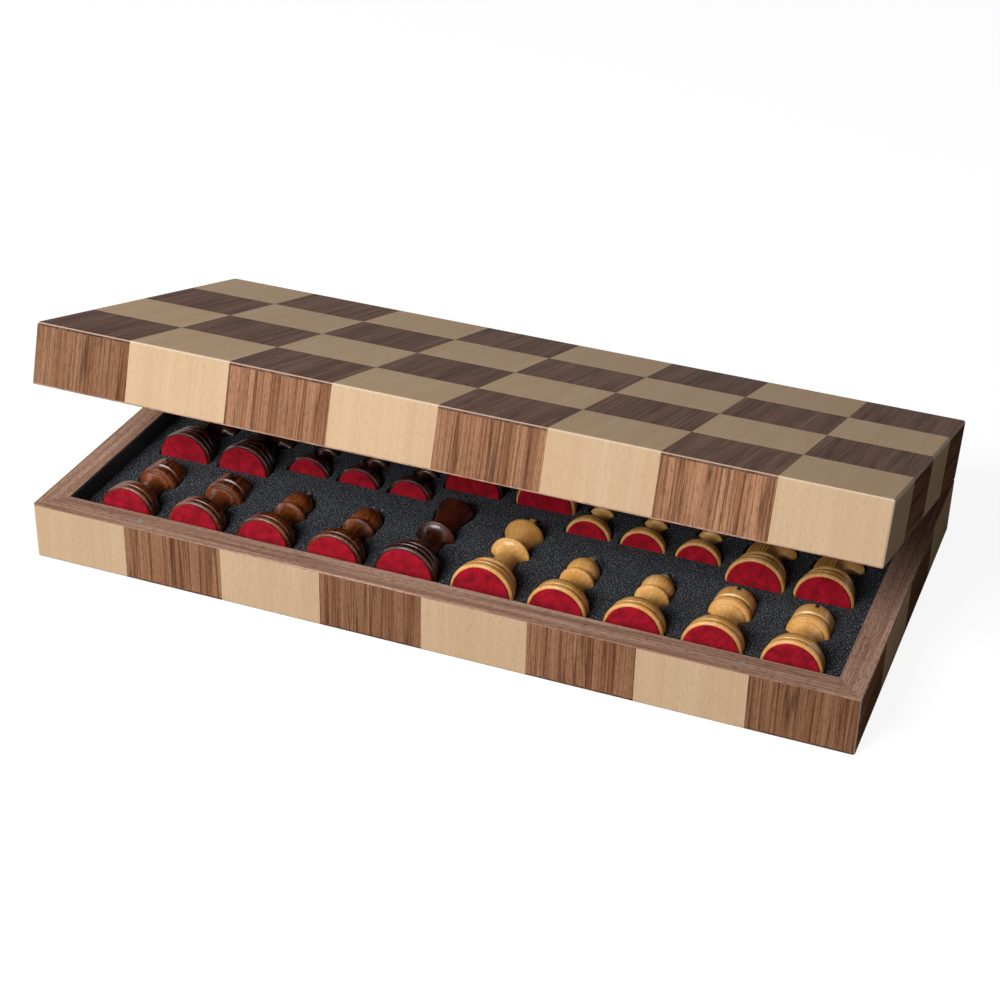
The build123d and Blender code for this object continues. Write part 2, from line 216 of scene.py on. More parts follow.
def surface(tree: NodeTree, inputs: dict) -> None:
    """Close a material with its shader, whose sockets each take a value or a link."""
    shader = add_node(tree, "BsdfPrincipled", inputs=inputs)
    add_node(tree, "OutputMaterial", inputs={"Surface": shader})


def case_coordinates(tree: NodeTree, half: Half) -> Socket:
    """Place a pattern on one half of the case as it is when closed.

    Args:
        tree: the material's tree.
        half: the half that the surface belongs to.

    Returns:
        The coordinates' socket, in metres.
    """
    turn = CASE.closing(half)
    where = add_node(tree, "TexCoord").outputs["Object"]
    way = {"Vector": where, "Location": turn.to_translation(), "Rotation": turn.to_euler()}
    return add_node(tree, "Mapping", inputs=way).outputs[0]


@dataclass(frozen=True)
class Figure:
    """A figure in a surface, drawn from noise at its real size.

    Args:
        across: width of one figure.
        along: its length with the grain.
        detail: how far finer figures are laid over it.
        ragged: how strong those are, from 0 to 1.
    """

    across: float
    along: float
    detail: float = 3.0
    ragged: float = 0.55

    def lay(
        self, tree: NodeTree, place: Socket, grain: Grain, cut: Node | Sequence[float] = (0, 0, 0)
    ) -> Socket:
        """Lay the figure on a surface.

        Args:
            tree: the material's tree.
            place: coordinates on the surface, in metres.
            grain: the way that the figure runs.
            cut: where in the noise it is cut from.

        Returns:
            The figure's socket, from 0 to 1.
        """
        sizes = grain.stretch(self.across, self.along)
        laid = add_node(tree, "VectorMath", {"operation": "MULTIPLY_ADD"}, {0: place, 1: sizes, 2: cut})
        look = {"Vector": laid, "Scale": 1.0, "Detail": self.detail, "Roughness": self.ragged}
        return add_node(tree, "TexNoise", inputs=look).outputs[0]


# Where a figure's noise is weak, at its middle and strong
NOISE_LOW, NOISE_MIDDLE, NOISE_HIGH = 0.3, 0.5, 0.7


def textured(
    tree: NodeTree, figure: Socket, gloss: Point, height: Node | Socket, relief: Point, sunk: bool = False
) -> dict[str, Node]:
    """Let a surface's figures change its gloss and stand out of it.

    Args:
        tree: the material's tree.
        figure: the figure that changes the gloss.
        gloss: roughness where that figure is weak and where it is strong.
        height: how far the surface stands out, from 0 to 1.
        relief: how strongly that shows, and its full height in millimetres.
        sunk: whether the surface sinks in instead.

    Returns:
        The shader's sockets by name, with the nodes to link.
    """
    rough = {0: figure, 1: NOISE_LOW, 2: NOISE_HIGH, 3: gloss[0], 4: gloss[1]}
    bump = {"Strength": relief[0], "Distance": relief[1] * MM, "Height": height}
    return {
        "Roughness": add_node(tree, "MapRange", inputs=rough),
        "Normal": add_node(tree, "Bump", {"invert": sunk}, bump),
    }


@dataclass(frozen=True)
class Finish:
    """A finish, named for the real material and its surface.

    Args:
        name: the material's name.
    """

    name: str

    def material(self, *lay: Enum) -> Material:
        """Find the finish's material, or make it the first time.

        Args:
            lay: for sliced wood, the half of the case and the way of the grain.

        Returns:
            The material, one for each lay.
        """
        name = "_".join([self.name, *(way.value for way in lay)])
        if name not in bpy.data.materials:
            self.paint(new_tree(name)[1], *lay)
        return bpy.data.materials[name]

    def paint(self, tree: NodeTree, *lay: Enum) -> None:
        """Build the surface in an empty tree."""
        raise NotImplementedError


# The batch of veneer that each half was cut from, which draws every square's figure and tone
VENEER_BATCH = {Half.TRAY: 3128, Half.LID: 2632}
# How far apart in the noise two squares are cut
SHEET_SPREAD = 60.0
# How much the satin lacquer mirrors, as the shader's specular level: the ends drink it in and stay matt
LACQUER = {Grain.ALONG_X: 0.01, Grain.ALONG_Y: 0.0, Grain.OVER_EDGE: 0.01}
# How much of an edge's rounding gets the painted highlight: where it starts, and where it is full
HIGHLIGHT_FROM, HIGHLIGHT_FULL = 0.38, 0.5


@dataclass(frozen=True)
class SlicedWood(Finish):
    """Sliced hardwood under a satin lacquer: long streaks along the grain, and short pores.

    Args:
        pale: colour between the streaks.
        dark: colour of the streaks.
        line: colour of the thin late-wood lines and pores.
        edge_highlight: colour of the painted highlight along the rounded outer edges.
        streak: width of the streaks, drawn a little coarse so that they show.
        line_weight: how strongly the thin lines show, from 0 to 1.
        pore_depth: how much the pores darken, from 0 to 1.
        tone_spread: how much the tone differs from square to square.
        squares: whether each square of the board is its own sheet, with its own figure and tone.
        gloss: roughness of the lacquer over the dark streaks and over the pale ones.
        band_weight: how strong the broad bands are beside the streaks.
        tones: the sums of bands and streaks at which the wood is dark and pale.
        line_reach: how far in the noise a line reaches to each side.
        pores: the noise at which pores start and are full.
        relief: how strongly lines and pores dent the surface, and how deep in millimetres.
    """

    pale: str
    dark: str
    line: str
    edge_highlight: str
    streak: float
    line_weight: float
    pore_depth: float
    tone_spread: float = 0.0
    squares: bool = True
    gloss: Point = (0.51, 0.41)
    band_weight: float = 1.6
    tones: Point = (1.0, 1.6)
    line_reach: float = 0.05
    pores: Point = (0.5, 0.7)
    relief: Point = (0.35, 0.05)

    def paint(self, tree: NodeTree, half: Half, grain: Grain) -> None:
        """Streak, line and pore the wood, square by square, and paint a pale highlight along its outer
        edges.

        Args:
            tree: the material's tree.
            half: the half of the case that the wood is on.
            grain: the way that the grain runs.
        """
        place = case_coordinates(tree, half)
        per_square = 1 / (CASE.square * MM) if self.squares else 0.0
        start = (0, CASE.row_shift / CASE.square, VENEER_BATCH[half])
        count = {0: place, 1: (per_square, per_square, 0), 2: start}
        counted = add_node(tree, "VectorMath", {"operation": "MULTIPLY_ADD"}, count)
        square = add_node(tree, "VectorMath", {"operation": "FLOOR"}, {0: counted})
        draw = add_node(tree, "TexWhiteNoise", inputs={"Vector": square})
        spread = {0: draw.outputs["Color"], "Scale": SHEET_SPREAD}
        cut = add_node(tree, "VectorMath", {"operation": "SCALE"}, spread)
        figures = (
            Figure(across=6.0 * self.streak, along=160.0, detail=2.0),
            Figure(across=self.streak, along=70.0),
            Figure(across=2.3 * self.streak, along=130.0, detail=1.5),
            Figure(across=0.45, along=3.0, detail=1.0),
        )
        band, streak, line, pore = (figure.lay(tree, place, grain, cut) for figure in figures)
        sums = {0: band, 1: self.band_weight, 2: streak}
        body = add_node(tree, "Math", {"operation": "MULTIPLY_ADD"}, sums)
        tone = add_node(tree, "MapRange", inputs={0: body, 1: self.tones[0], 2: self.tones[1]})
        level = add_node(tree, "Math", {"operation": "SUBTRACT"}, {0: line, 1: NOISE_MIDDLE})
        off_line = add_node(tree, "Math", {"operation": "ABSOLUTE"}, {0: level})
        lines = add_node(
            tree, "MapRange", inputs={0: off_line, 2: self.line_reach, 3: self.line_weight, 4: 0.0}
        )
        pores = add_node(
            tree, "MapRange", inputs={0: pore, 1: self.pores[0], 2: self.pores[1], 4: self.pore_depth}
        )
        wood: Node | Sequence[float] = linear(self.dark)
        for share, code in ((tone, self.pale), (lines, self.line), (pores, self.line)):
            wood = add_node(tree, "Mix", {"data_type": "RGBA"}, {0: share, 6: wood, 7: linear(code)})
        value = add_node(
            tree, "MapRange", inputs={0: draw, 3: 1 - self.tone_spread, 4: 1 + self.tone_spread}
        )
        toned = add_node(tree, "HueSaturation", inputs={"Value": value, "Color": wood})
        # Painted highlight: the rounded outer edges are paled as if they caught the light
        edges = self.highlit_edges(tree, place, half)
        highlighted = add_node(
            tree, "Mix", {"data_type": "RGBA"}, {0: edges, 6: toned, 7: linear(self.edge_highlight)}
        )
        dents = add_node(tree, "Math", {"operation": "ADD"}, {0: pores, 1: lines})
        texture = textured(tree, streak, self.gloss, dents, self.relief, sunk=True)
        surface(tree, {"Base Color": highlighted, "Specular IOR Level": LACQUER[grain], **texture})

    def highlit_edges(self, tree: NodeTree, place: Socket, half: Half) -> Socket:
        """Find the rounded outer edges, where a pale highlight is painted.

        Args:
            tree: the material's tree.
            place: coordinates on the closed case.
            half: the half of the case that the wood is on.

        Returns:
            How much of the painted highlight an edge gets, from 0 to 1.
        """
        outer = 2 * CASE.part_z if half is Half.LID else 0.0
        inner = outer + CASE.edge_round * (-1 if half is Half.LID else 1)
        sides = [(size / 2 - CASE.edge_round, size / 2) for size in (CASE.length, CASE.depth)]
        axes = add_node(tree, "SeparateXYZ", inputs={0: place})
        near = []
        for axis, (low, high) in enumerate([*sides, (inner, outer)]):
            far: Node | Socket = axes.outputs[axis]
            if axis < len(sides):
                far = add_node(tree, "Math", {"operation": "ABSOLUTE"}, {0: far})
            near.append(add_node(tree, "MapRange", inputs={0: far, 1: low * MM, 2: high * MM}))
        total: Node | float = 0.0
        for one, other in ((0, 1), (1, 2), (2, 0)):
            both = {0: near[one], 1: near[other], 2: total}
            total = add_node(tree, "Math", {"operation": "MULTIPLY_ADD"}, both)
        return add_node(tree, "MapRange", inputs={0: total, 1: HIGHLIGHT_FROM, 2: HIGHLIGHT_FULL}).outputs[0]


# American walnut: warm brown, with thin dark late-wood lines and open pores
WALNUT = SlicedWood(
    "walnut_veneer", pale="#b68767", dark="#8d5f43", line="#452a20", edge_highlight="#dcc0ae",
    streak=0.95, line_weight=0.75, pore_depth=0.4, tone_spread=0.22,
)
# Walnut for the playing faces: darker and greyer than the edges' walnut as painted shade for faces seen at
# a grazing angle, and more even
SHADED_TOP_WALNUT = SlicedWood(
    "walnut_heartwood", pale="#8a6654", dark="#6a4939", line="#36231c", edge_highlight="#dcc0ae",
    streak=1.2, line_weight=0.6, pore_depth=0.3, tone_spread=0.05,
)
# Walnut rim: solid strips, finer in figure than the sliced squares, and paler than the walnut veneer as
# painted light on the up-facing rim
LIT_WALNUT_RIM = SlicedWood(
    "walnut_rim", pale="#d4ab94", dark="#ab806b", line="#5e4135", edge_highlight="#e2c8b6",
    streak=0.5, line_weight=0.6, pore_depth=0.6, squares=False,
)
# Hard maple: pale and nearly plain, with a faint silky streak
MAPLE = SlicedWood(
    "maple_veneer", pale="#e3c4a0", dark="#dcba95", line="#c8a077", edge_highlight="#f6e2c8",
    streak=1.6, line_weight=0.08, pore_depth=0.4, tone_spread=0.035,
)
# Birch core board behind the squares: dull and unlacquered
CORE_BOARD = SlicedWood(
    "birch_core_board", pale="#cfae80", dark="#b48f60", line="#8a6a42", edge_highlight="#dcc29c",
    streak=2.0, line_weight=0.4, pore_depth=0.3, squares=False, gloss=(0.76, 0.66),
)


@dataclass(frozen=True)
class TurnedWood(Finish):
    """Turned hardwood under a gloss lacquer: streaks along the axis and a clear, wet-looking coat.

    Args:
        pale: colour of the bright streaks.
        dark: colour of the deep streaks.
        gloss: roughness of the wood under the coat, between the fibres and on them.
        coat: weight of the clear coat.
        coat_gloss: roughness of the coat.
        cloud_weight: how strong the soft clouds are beside the streaks.
        tones: the sums of clouds and streaks at which the wood is dark and pale.
        relief: how strongly the fibres stand out, and how far in millimetres.
    """

    pale: str
    dark: str
    gloss: Point
    coat: float
    coat_gloss: float = 0.12
    cloud_weight: float = 0.9
    tones: Point = (0.74, 1.24)
    relief: Point = (0.2, 0.04)

    def paint(self, tree: NodeTree) -> None:
        """Run clouds, streaks and fibres along the bedded pieces.

        Args:
            tree: the material's tree.
        """
        place = add_node(tree, "TexCoord").outputs["Object"]
        # Width and length of a cloud, a streak and a fibre
        sizes = ((9.0, 22.0), (1.2, 24.0), (0.4, 6.0))
        figures = [Figure(across, along) for across, along in sizes]
        cloud, streak, fibre = (figure.lay(tree, place, Grain.ALONG_Y) for figure in figures)
        sums = {0: cloud, 1: self.cloud_weight, 2: streak}
        body = add_node(tree, "Math", {"operation": "MULTIPLY_ADD"}, sums)
        tone = add_node(tree, "MapRange", inputs={0: body, 1: self.tones[0], 2: self.tones[1]})
        colours = {0: tone, 6: linear(self.dark), 7: linear(self.pale)}
        wood = add_node(tree, "Mix", {"data_type": "RGBA"}, colours)
        texture = textured(tree, fibre, self.gloss, fibre, self.relief)
        lacquer = {"Coat Weight": self.coat, "Coat Roughness": self.coat_gloss}
        surface(tree, {"Base Color": wood, **texture, **lacquer})


# Stained maple: deep brown, amber where the light gets under the lacquer
DARK_WOOD = TurnedWood("stained_dark_wood", pale="#944b1d", dark="#2a0e06", gloss=(0.43, 0.31), coat=0.3)
# The same stain taken up deeply, with painted shade for the pieces that get less light: red-brown, nearly
# black in the deeps
DEEP_AND_SHADED_WOOD = TurnedWood("deep_stained_wood", pale="#5c2612", dark="#160705", gloss=(0.43, 0.31), coat=0.35)
# Boxwood: warm yellow, close and even
LIGHT_WOOD = TurnedWood("lacquered_boxwood", pale="#fcc77e", dark="#e4a04d", gloss=(0.47, 0.35), coat=0.3)


@dataclass(frozen=True)
class Fleece(Finish):
    """A soft matt surface: foam, felt or flock, with a mottle, grains and a bump.

    Args:
        deep: colour of the darker patches.
        base: main colour.
        speck: colour of the bright grains.
        mottle: size of the soft patches.
        specks: the noise at which a bright grain starts and is full.
        relief: height of the grains.
        sheen: weight of the soft edge sheen.
        grain: size of the grains, drawn no finer than shows.
        ragged: how strong the finer grains are, from 0 to 1.
        patches: the noise at which a patch is dark and light.
        bump: how strongly the grains stand out.
        gloss: roughness.
        mirror: specular level.
    """

    deep: str
    base: str
    speck: str
    mottle: float
    specks: Point
    relief: float
    sheen: float
    grain: float = 0.5
    ragged: float = 0.6
    patches: Point = (0.32, 0.66)
    bump: float = 0.8
    gloss: float = 0.95
    mirror: float = 0.2

    def paint(self, tree: NodeTree) -> None:
        """Mottle the surface, strew the bright grains and raise them.

        Args:
            tree: the material's tree.
        """
        place = add_node(tree, "TexCoord").outputs["Object"]
        figures = (
            Figure(self.mottle, self.mottle, ragged=self.ragged),
            Figure(self.grain, self.grain, detail=2.0, ragged=self.ragged),
        )
        mottle, grain = (figure.lay(tree, place, Grain.ALONG_X) for figure in figures)
        nap: Node | Sequence[float] = linear(self.deep)
        coats = ((mottle, self.patches, self.base), (grain, self.specks, self.speck))
        for figure, (start, full), code in coats:
            share = add_node(tree, "MapRange", inputs={0: figure, 1: start, 2: full})
            nap = add_node(tree, "Mix", {"data_type": "RGBA"}, {0: share, 6: nap, 7: linear(code)})
        depth = {"Strength": self.bump, "Distance": self.relief * MM, "Height": grain}
        relief = add_node(tree, "Bump", inputs=depth)
        surface(
            tree,
            {
                "Base Color": nap,
                "Roughness": self.gloss,
                "Specular IOR Level": self.mirror,
                "Normal": relief,
                "Sheen Weight": self.sheen,
            },
        )


# Closed-cell polyethylene foam, cut through its cells: charcoal with bright cell walls
FOAM = Fleece(
    "charcoal_foam", deep="#16191e", base="#24282e", speck="#ccd3dc", mottle=8.0,
    specks=(0.57, 0.69), relief=0.3, sheen=0.05,
)
# Wool felt, napped: crimson with a soft change where the nap lies over
FELT = Fleece(
    "crimson_felt", deep="#8a071b", base="#c4102a", speck="#d32c42", mottle=4.0,
    specks=(0.61, 0.73), relief=0.15, sheen=0.1,
)
# Flocked lining: near black, with a trace of dust-grey nap
FLOCK = Fleece(
    "black_flock", deep="#08080a", base="#0e0e11", speck="#24252a", mottle=6.0,
    specks=(0.62, 0.74), relief=0.1, sheen=0.3,
)


@dataclass(frozen=True)
class DrawnMetal(Finish):
    """Bare metal with fine drawing marks, drawn coarse enough to show.

    Args:
        bright: colour of the bare metal.
        dull: colour where it has tarnished.
        gloss: roughness between the marks and in them.
        bare: share of the surface that is bare metal; the rest is dulled by the rim's lacquer.
        ragged: how strong the finer marks are, from 0 to 1.
        relief: how strongly the marks stand out, and how far in millimetres.
    """

    bright: str
    dull: str
    gloss: Point
    bare: float = 1.0
    ragged: float = 0.5
    relief: Point = (0.15, 0.02)

    def paint(self, tree: NodeTree) -> None:
        """Draw the marks along the hinge line and tarnish the metal in patches.

        Args:
            tree: the material's tree.
        """
        place = add_node(tree, "TexCoord").outputs["Object"]
        # Width and length of a mark and of a stain
        sizes = ((0.12, 9.0), (3.0, 6.0))
        figures = [Figure(across, along, ragged=self.ragged) for across, along in sizes]
        mark, stain = (figure.lay(tree, place, Grain.ALONG_X) for figure in figures)
        colours = {0: stain, 6: linear(self.bright), 7: linear(self.dull)}
        metal = add_node(tree, "Mix", {"data_type": "RGBA"}, colours)
        texture = textured(tree, mark, self.gloss, mark, self.relief)
        surface(tree, {"Base Color": metal, "Metallic": self.bare, **texture})


# Drawn brass of the hinges: yellow and bright, browner where it has tarnished
BRASS = DrawnMetal("drawn_brass", bright="#c9a24d", dull="#9c7a35", gloss=(0.24, 0.4))
# Nickel plate on the magnets: a soft grey, dulled by the lacquer that runs over from the rim
MAGNET = DrawnMetal("nickelled_magnet", bright="#c3b9b2", dull="#aea59f", gloss=(0.44, 0.6), bare=0.4)


# How nearly a face points one way where it is said to face that way, as a cosine
FACING = 0.9
# Points nearer to each other than this are one point
WELD = 0.01


def pick_out(*pieces: Object) -> None:
    """Select these pieces alone, with the first one active.

    Args:
        pieces: the objects.
    """
    bpy.ops.object.select_all(action="DESELECT")
    for piece in pieces:
        piece.select_set(True)
    bpy.context.view_layer.objects.active = pieces[0]


def start_from(primitive: str, **sizes: object) -> Object:
    """Add the primitive that a piece starts from, at the origin.

    Args:
        primitive: its name in Blender.
        sizes: what its operator takes.

    Returns:
        The new object.
    """
    bpy.ops.object.select_all(action="DESELECT")
    getattr(bpy.ops.mesh, f"primitive_{primitive}_add")(**sizes)
    return bpy.context.object


def start_block(size: Sequence[float], middle: float) -> Object:
    """Add a box on the upright axis.

    Args:
        size: its three sides, in millimetres.
        middle: height of its middle, in millimetres.

    Returns:
        The box, in place.
    """
    piece = start_from("cube", size=1)
    place = Matrix.Translation((0, 0, middle * MM))
    move_mesh(piece, place @ Matrix.Diagonal((*Vector(size) * MM, 1)))
    return piece


@contextmanager
def editing(piece: Object) -> Iterator[None]:
    """Edit one piece alone, with nothing of it selected at first.

    Args:
        piece: the object to edit.
    """
    pick_out(piece)
    bpy.ops.object.mode_set(mode="EDIT")
    bpy.ops.mesh.select_all(action="DESELECT")
    yield
    bpy.ops.object.mode_set(mode="OBJECT")


def select(piece: Object, element: Element, wanted: Callable[..., bool]) -> None:
    """Select the faces or edges that a test picks out, and no others.

    Args:
        piece: the object in edit mode.
        element: whether faces or edges are tested.
        wanted: says whether one is picked.
    """
    bpy.ops.mesh.select_mode(type=element.name)
    mesh = bmesh.from_edit_mesh(piece.data)
    for one in getattr(mesh, element.value):
        one.select_set(wanted(one))
    bmesh.update_edit_mesh(piece.data)


def face_outward() -> None:
    """Point every face of the closed piece that is being edited outward."""
    bpy.ops.mesh.select_all(action="SELECT")
    bpy.ops.mesh.normals_make_consistent(inside=False)


def apply_modifier(piece: Object, kind: str, **settings: object) -> None:
    """Add a modifier and apply it at once.

    Args:
        piece: the object to change.
        kind: the modifier's type.
        settings: its properties.
    """
    modifier = piece.modifiers.new(kind.lower(), kind)
    for key, value in settings.items():
        setattr(modifier, key, value)
    bpy.context.view_layer.objects.active = piece
    bpy.ops.object.modifier_apply(modifier=modifier.name)


def shade(piece: Object, angle: float = 40.0) -> None:
    """Shade a piece smooth up to an angle in degrees."""
    pick_out(piece)
    bpy.ops.object.shade_smooth_by_angle(angle=math.radians(angle))


def soften(piece: Object, width: float, angle: float = 28.0, segments: int = 2) -> None:
    """Round the sharp edges a little and shade the rest smooth.

    Args:
        piece: the object to finish.
        width: width of the rounding in millimetres.
        angle: the sharpness in degrees from which an edge is rounded.
        segments: steps across the rounding.
    """
    apply_modifier(
        piece,
        "BEVEL",
        width=width * MM,
        segments=segments,
        limit_method="ANGLE",
        angle_limit=math.radians(angle),
        use_clamp_overlap=True,
    )
    shade(piece)


def to_mesh(drawing: Curve) -> Object:
    """Turn a drawn curve into a mesh object.

    Args:
        drawing: the curve, with its bevel.

    Returns:
        The object, linked to the scene.
    """
    piece = bpy.data.objects.new(drawing.name, drawing)
    bpy.context.scene.collection.objects.link(piece)
    pick_out(piece)
    bpy.ops.object.convert(target="MESH")
    return bpy.context.object


def join(*pieces: Object) -> Object:
    """Join several objects into the first.

    Args:
        pieces: the objects, of which the first stays.

    Returns:
        The joined object.
    """
    pick_out(*pieces)
    bpy.ops.object.join()
    return pieces[0]


def move_mesh(piece: Object, place: Matrix) -> None:
    """Put a piece's mesh in place and leave its object at the origin.

    Args:
        piece: the object to move.
        place: the way from the object's own frame.
    """
    piece.data.transform(place @ piece.matrix_world)
    piece.matrix_world = Matrix.Identity(4)
    if place.determinant() < 0:
        piece.data.flip_normals()


def copy_of(model: Object, place: Matrix) -> Object:
    """Copy a model with a mesh of its own into its place.

    Args:
        model: the object to copy.
        place: the way from the model's frame.

    Returns:
        The copy, linked to the scene.
    """
    piece = model.copy()
    piece.data = model.data.copy()
    bpy.context.scene.collection.objects.link(piece)
    move_mesh(piece, place)
    return piece


def coat(node: str, material: Material) -> None:
    """Give a CAD node one finish all over.

    Args:
        node: the node's name.
        material: the finish.
    """
    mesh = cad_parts[node].data
    mesh.materials.clear()
    mesh.materials.append(material)
    log.info("%s: %s", node, material.name)


def finish_piece(piece: Object, name: str, material: Material, body: str, node: str) -> None:
    """Name, dress and hang a new piece on the frame.

    Args:
        piece: the object, in place.
        name: its name.
        material: its finish.
        body: the CAD body that it rides on.
        node: the CAD node that it stands for.
    """
    piece.name = name
    piece.data.name = name
    piece.data.materials.clear()
    piece.data.materials.append(material)
    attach(piece, body)
    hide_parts(node)
    log.info("%s: %d faces on %s", name, len(piece.data.polygons), body)


@dataclass(frozen=True)
class HalfBox:
    """One half of the case: its CAD wood dressed, with a new lining and, in the lid, a pad.

    Args:
        half: which half it is.
        lining_round: rounding of the lining's upper edge.
        pad_round: rounding of the pad's edges.
        end_reach: how far in from an end the faces of its veneers lie.
        corner_reach: how far in from the corners they start.
    """

    half: Half
    lining_round: float = 0.2
    pad_round: float = 1.2
    end_reach: float = 1.6
    corner_reach: float = 1.45

    def node(self, part: str) -> str:
        """Name of one of this half's CAD nodes."""
        return f"{self.half.value}_{part}"

    def place(self) -> Matrix:
        """The way from the tray's frame to this half."""
        return CASE.lid_pose() if self.half is Half.LID else Matrix.Identity(4)

    def dress(self) -> None:
        """Give every CAD node of this half its finish."""
        woods = {
            "panel": (CORE_BOARD, Grain.ALONG_X),
            "front_wall": (LIT_WALNUT_RIM, Grain.ALONG_X),
            "back_wall": (LIT_WALNUT_RIM, Grain.ALONG_X),
            "right_wall": (LIT_WALNUT_RIM, Grain.ALONG_Y),
            "left_wall": (LIT_WALNUT_RIM, Grain.ALONG_Y),
            "walnut_squares": (SHADED_TOP_WALNUT, Grain.OVER_EDGE),
            "maple_squares": (MAPLE, Grain.OVER_EDGE),
        }
        for part, (wood, grain) in woods.items():
            coat(self.node(part), wood.material(self.half, grain))
        for part, metal in (("hinge_leaves", BRASS), ("hinge_screws", BRASS), ("magnets", MAGNET)):
            coat(self.node(part), metal.material())
        self.dress_edges()

    def dress_edges(self) -> None:
        """Give each edge veneer the wood and grain of the square that it continues."""
        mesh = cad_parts[self.node("edge_veneers")].data
        mesh.materials.clear()
        for wood in (MAPLE, WALNUT):
            for grain in (Grain.ALONG_Y, Grain.OVER_EDGE):
                mesh.materials.append(wood.material(self.half, grain))
        closed = CASE.closing(self.half)
        end, corner = CASE.length / 2 - self.end_reach, CASE.depth / 2 - self.corner_reach
        for polygon in mesh.polygons:
            spot = closed @ polygon.center / MM
            on_end = abs(spot.x) > end and abs(spot.y) < corner
            column = math.floor(spot.x / CASE.square)
            row = math.floor((spot.y + CASE.row_shift) / CASE.square)
            odd = (column + row) % 2 == 1
            walnut = odd if self.half is Half.TRAY else not odd
            polygon.material_index = 2 * walnut + (not on_end)
        log.info("%s: %d faces in two woods", self.node("edge_veneers"), len(mesh.polygons))

    def line(self) -> None:
        """Line the panel and the four walls in one thin flocked tray."""
        half_x, half_y = CASE.inner()
        high = CASE.height - CASE.lining_drop
        rise = high - CASE.floor
        piece = start_block((2 * half_x, 2 * half_y, rise), (high + CASE.floor) / 2)
        with editing(piece):
            select(piece, Element.FACE, lambda face: face.normal.z > FACING)
            bpy.ops.mesh.delete(type="FACE")
            bpy.ops.mesh.select_all(action="SELECT")
            bpy.ops.mesh.subdivide(number_cuts=3)
        apply_modifier(piece, "SOLIDIFY", thickness=CASE.lining * MM, offset=-1.0, use_even_offset=True)
        soften(piece, self.lining_round, angle=60.0)
        move_mesh(piece, self.place())
        name = f"{self.half.value}_flock_lining"
        finish_piece(piece, name, FLOCK.material(), self.half.value, self.node("lining"))

    def pad(self) -> None:
        """Lay the thin foam pad against the lid's lining."""
        half_x, half_y = CASE.foam()
        middle = CASE.floor + CASE.lining + CASE.pad_thick / 2
        piece = start_block((2 * half_x, 2 * half_y, CASE.pad_thick), middle)
        soften(piece, self.pad_round, segments=4)
        move_mesh(piece, self.place())
        finish_piece(piece, "lid_pad", FOAM.material(), self.half.value, self.node("foam_pad"))


# Twice the area under which three points of an arc lie on one line, in square millimetres
STRAIGHT = 1e-9


def arc_steps(start: Point, middle: Point, end: Point, count: int) -> list[Point]:
    """Points along the arc through three points, without its start.

    Args:
        start: first end.
        middle: a point on the arc.
        end: last end.
        count: number of steps.

    Returns:
        The points, ending at end.
    """
    (ax, ay), (bx, by), (cx, cy) = start, middle, end
    twice = 2 * (ax * (by - cy) + bx * (cy - ay) + cx * (ay - by))
    if abs(twice) < STRAIGHT:
        return [end]
    squares = [x * x + y * y for x, y in (start, middle, end)]
    ux = (squares[0] * (by - cy) + squares[1] * (cy - ay) + squares[2] * (ay - by)) / twice
    uy = (squares[0] * (cx - bx) + squares[1] * (ax - cx) + squares[2] * (bx - ax)) / twice
    first, mid, last = (math.atan2(y - uy, x - ux) for x, y in (start, middle, end))
    sweep = (last - first) % math.tau
    if (mid - first) % math.tau > sweep:
        sweep -= math.tau
    radius = math.hypot(ax - ux, ay - uy)
    angles = (first + sweep * k / count for k in range(1, count + 1))
    return [(ux + radius * math.cos(a), uy + radius * math.sin(a)) for a in angles]


def width_at(points: Sequence[Point], height: float) -> float:
    """Radius of a turned side at a height, at its widest there.

    Args:
        points: the side as (radius, height) points.
        height: the height asked for.

    Returns:
        The radius, or the foot's under the foot and a pin's width over the top.
    """
    found = []
    for (r0, h0), (r1, h1) in zip(points, points[1:]):
        if min(h0, h1) <= height <= max(h0, h1):
            share = (height - h0) / (h1 - h0) if h1 != h0 else 1.0
            found.append(max(r0, r1) if h1 == h0 else r0 + share * (r1 - r0))
    pin = 0.5
    return max(found, default=points[0][0] if height < points[0][1] else pin)


# Feet shared by several patterns, in base radii: lines to (radius, height), or arcs through a first pair
MINOR_FOOT = ((1.0, 0.26), (0.925, 0.29), (0.925, 0.345), (0.965, 0.37), (0.955, 0.6, 0.79, 0.9))
ROYAL_FOOT = (
    (1.0, 0.27), (0.93, 0.3), (0.93, 0.35), (0.965, 0.37), (0.938, 0.524, 0.8, 0.66), (0.765, 0.68),
    (0.765, 0.715), (0.85, 0.815, 0.78, 0.924), (0.524, 1.255, 0.386, 1.75), (0.352, 2.15),
    (0.407, 2.34, 0.63, 2.49), (0.64, 2.55), (0.56, 2.64, 0.46, 2.68), (0.44, 2.73), (0.47, 2.79),
    (0.4, 2.83),
)


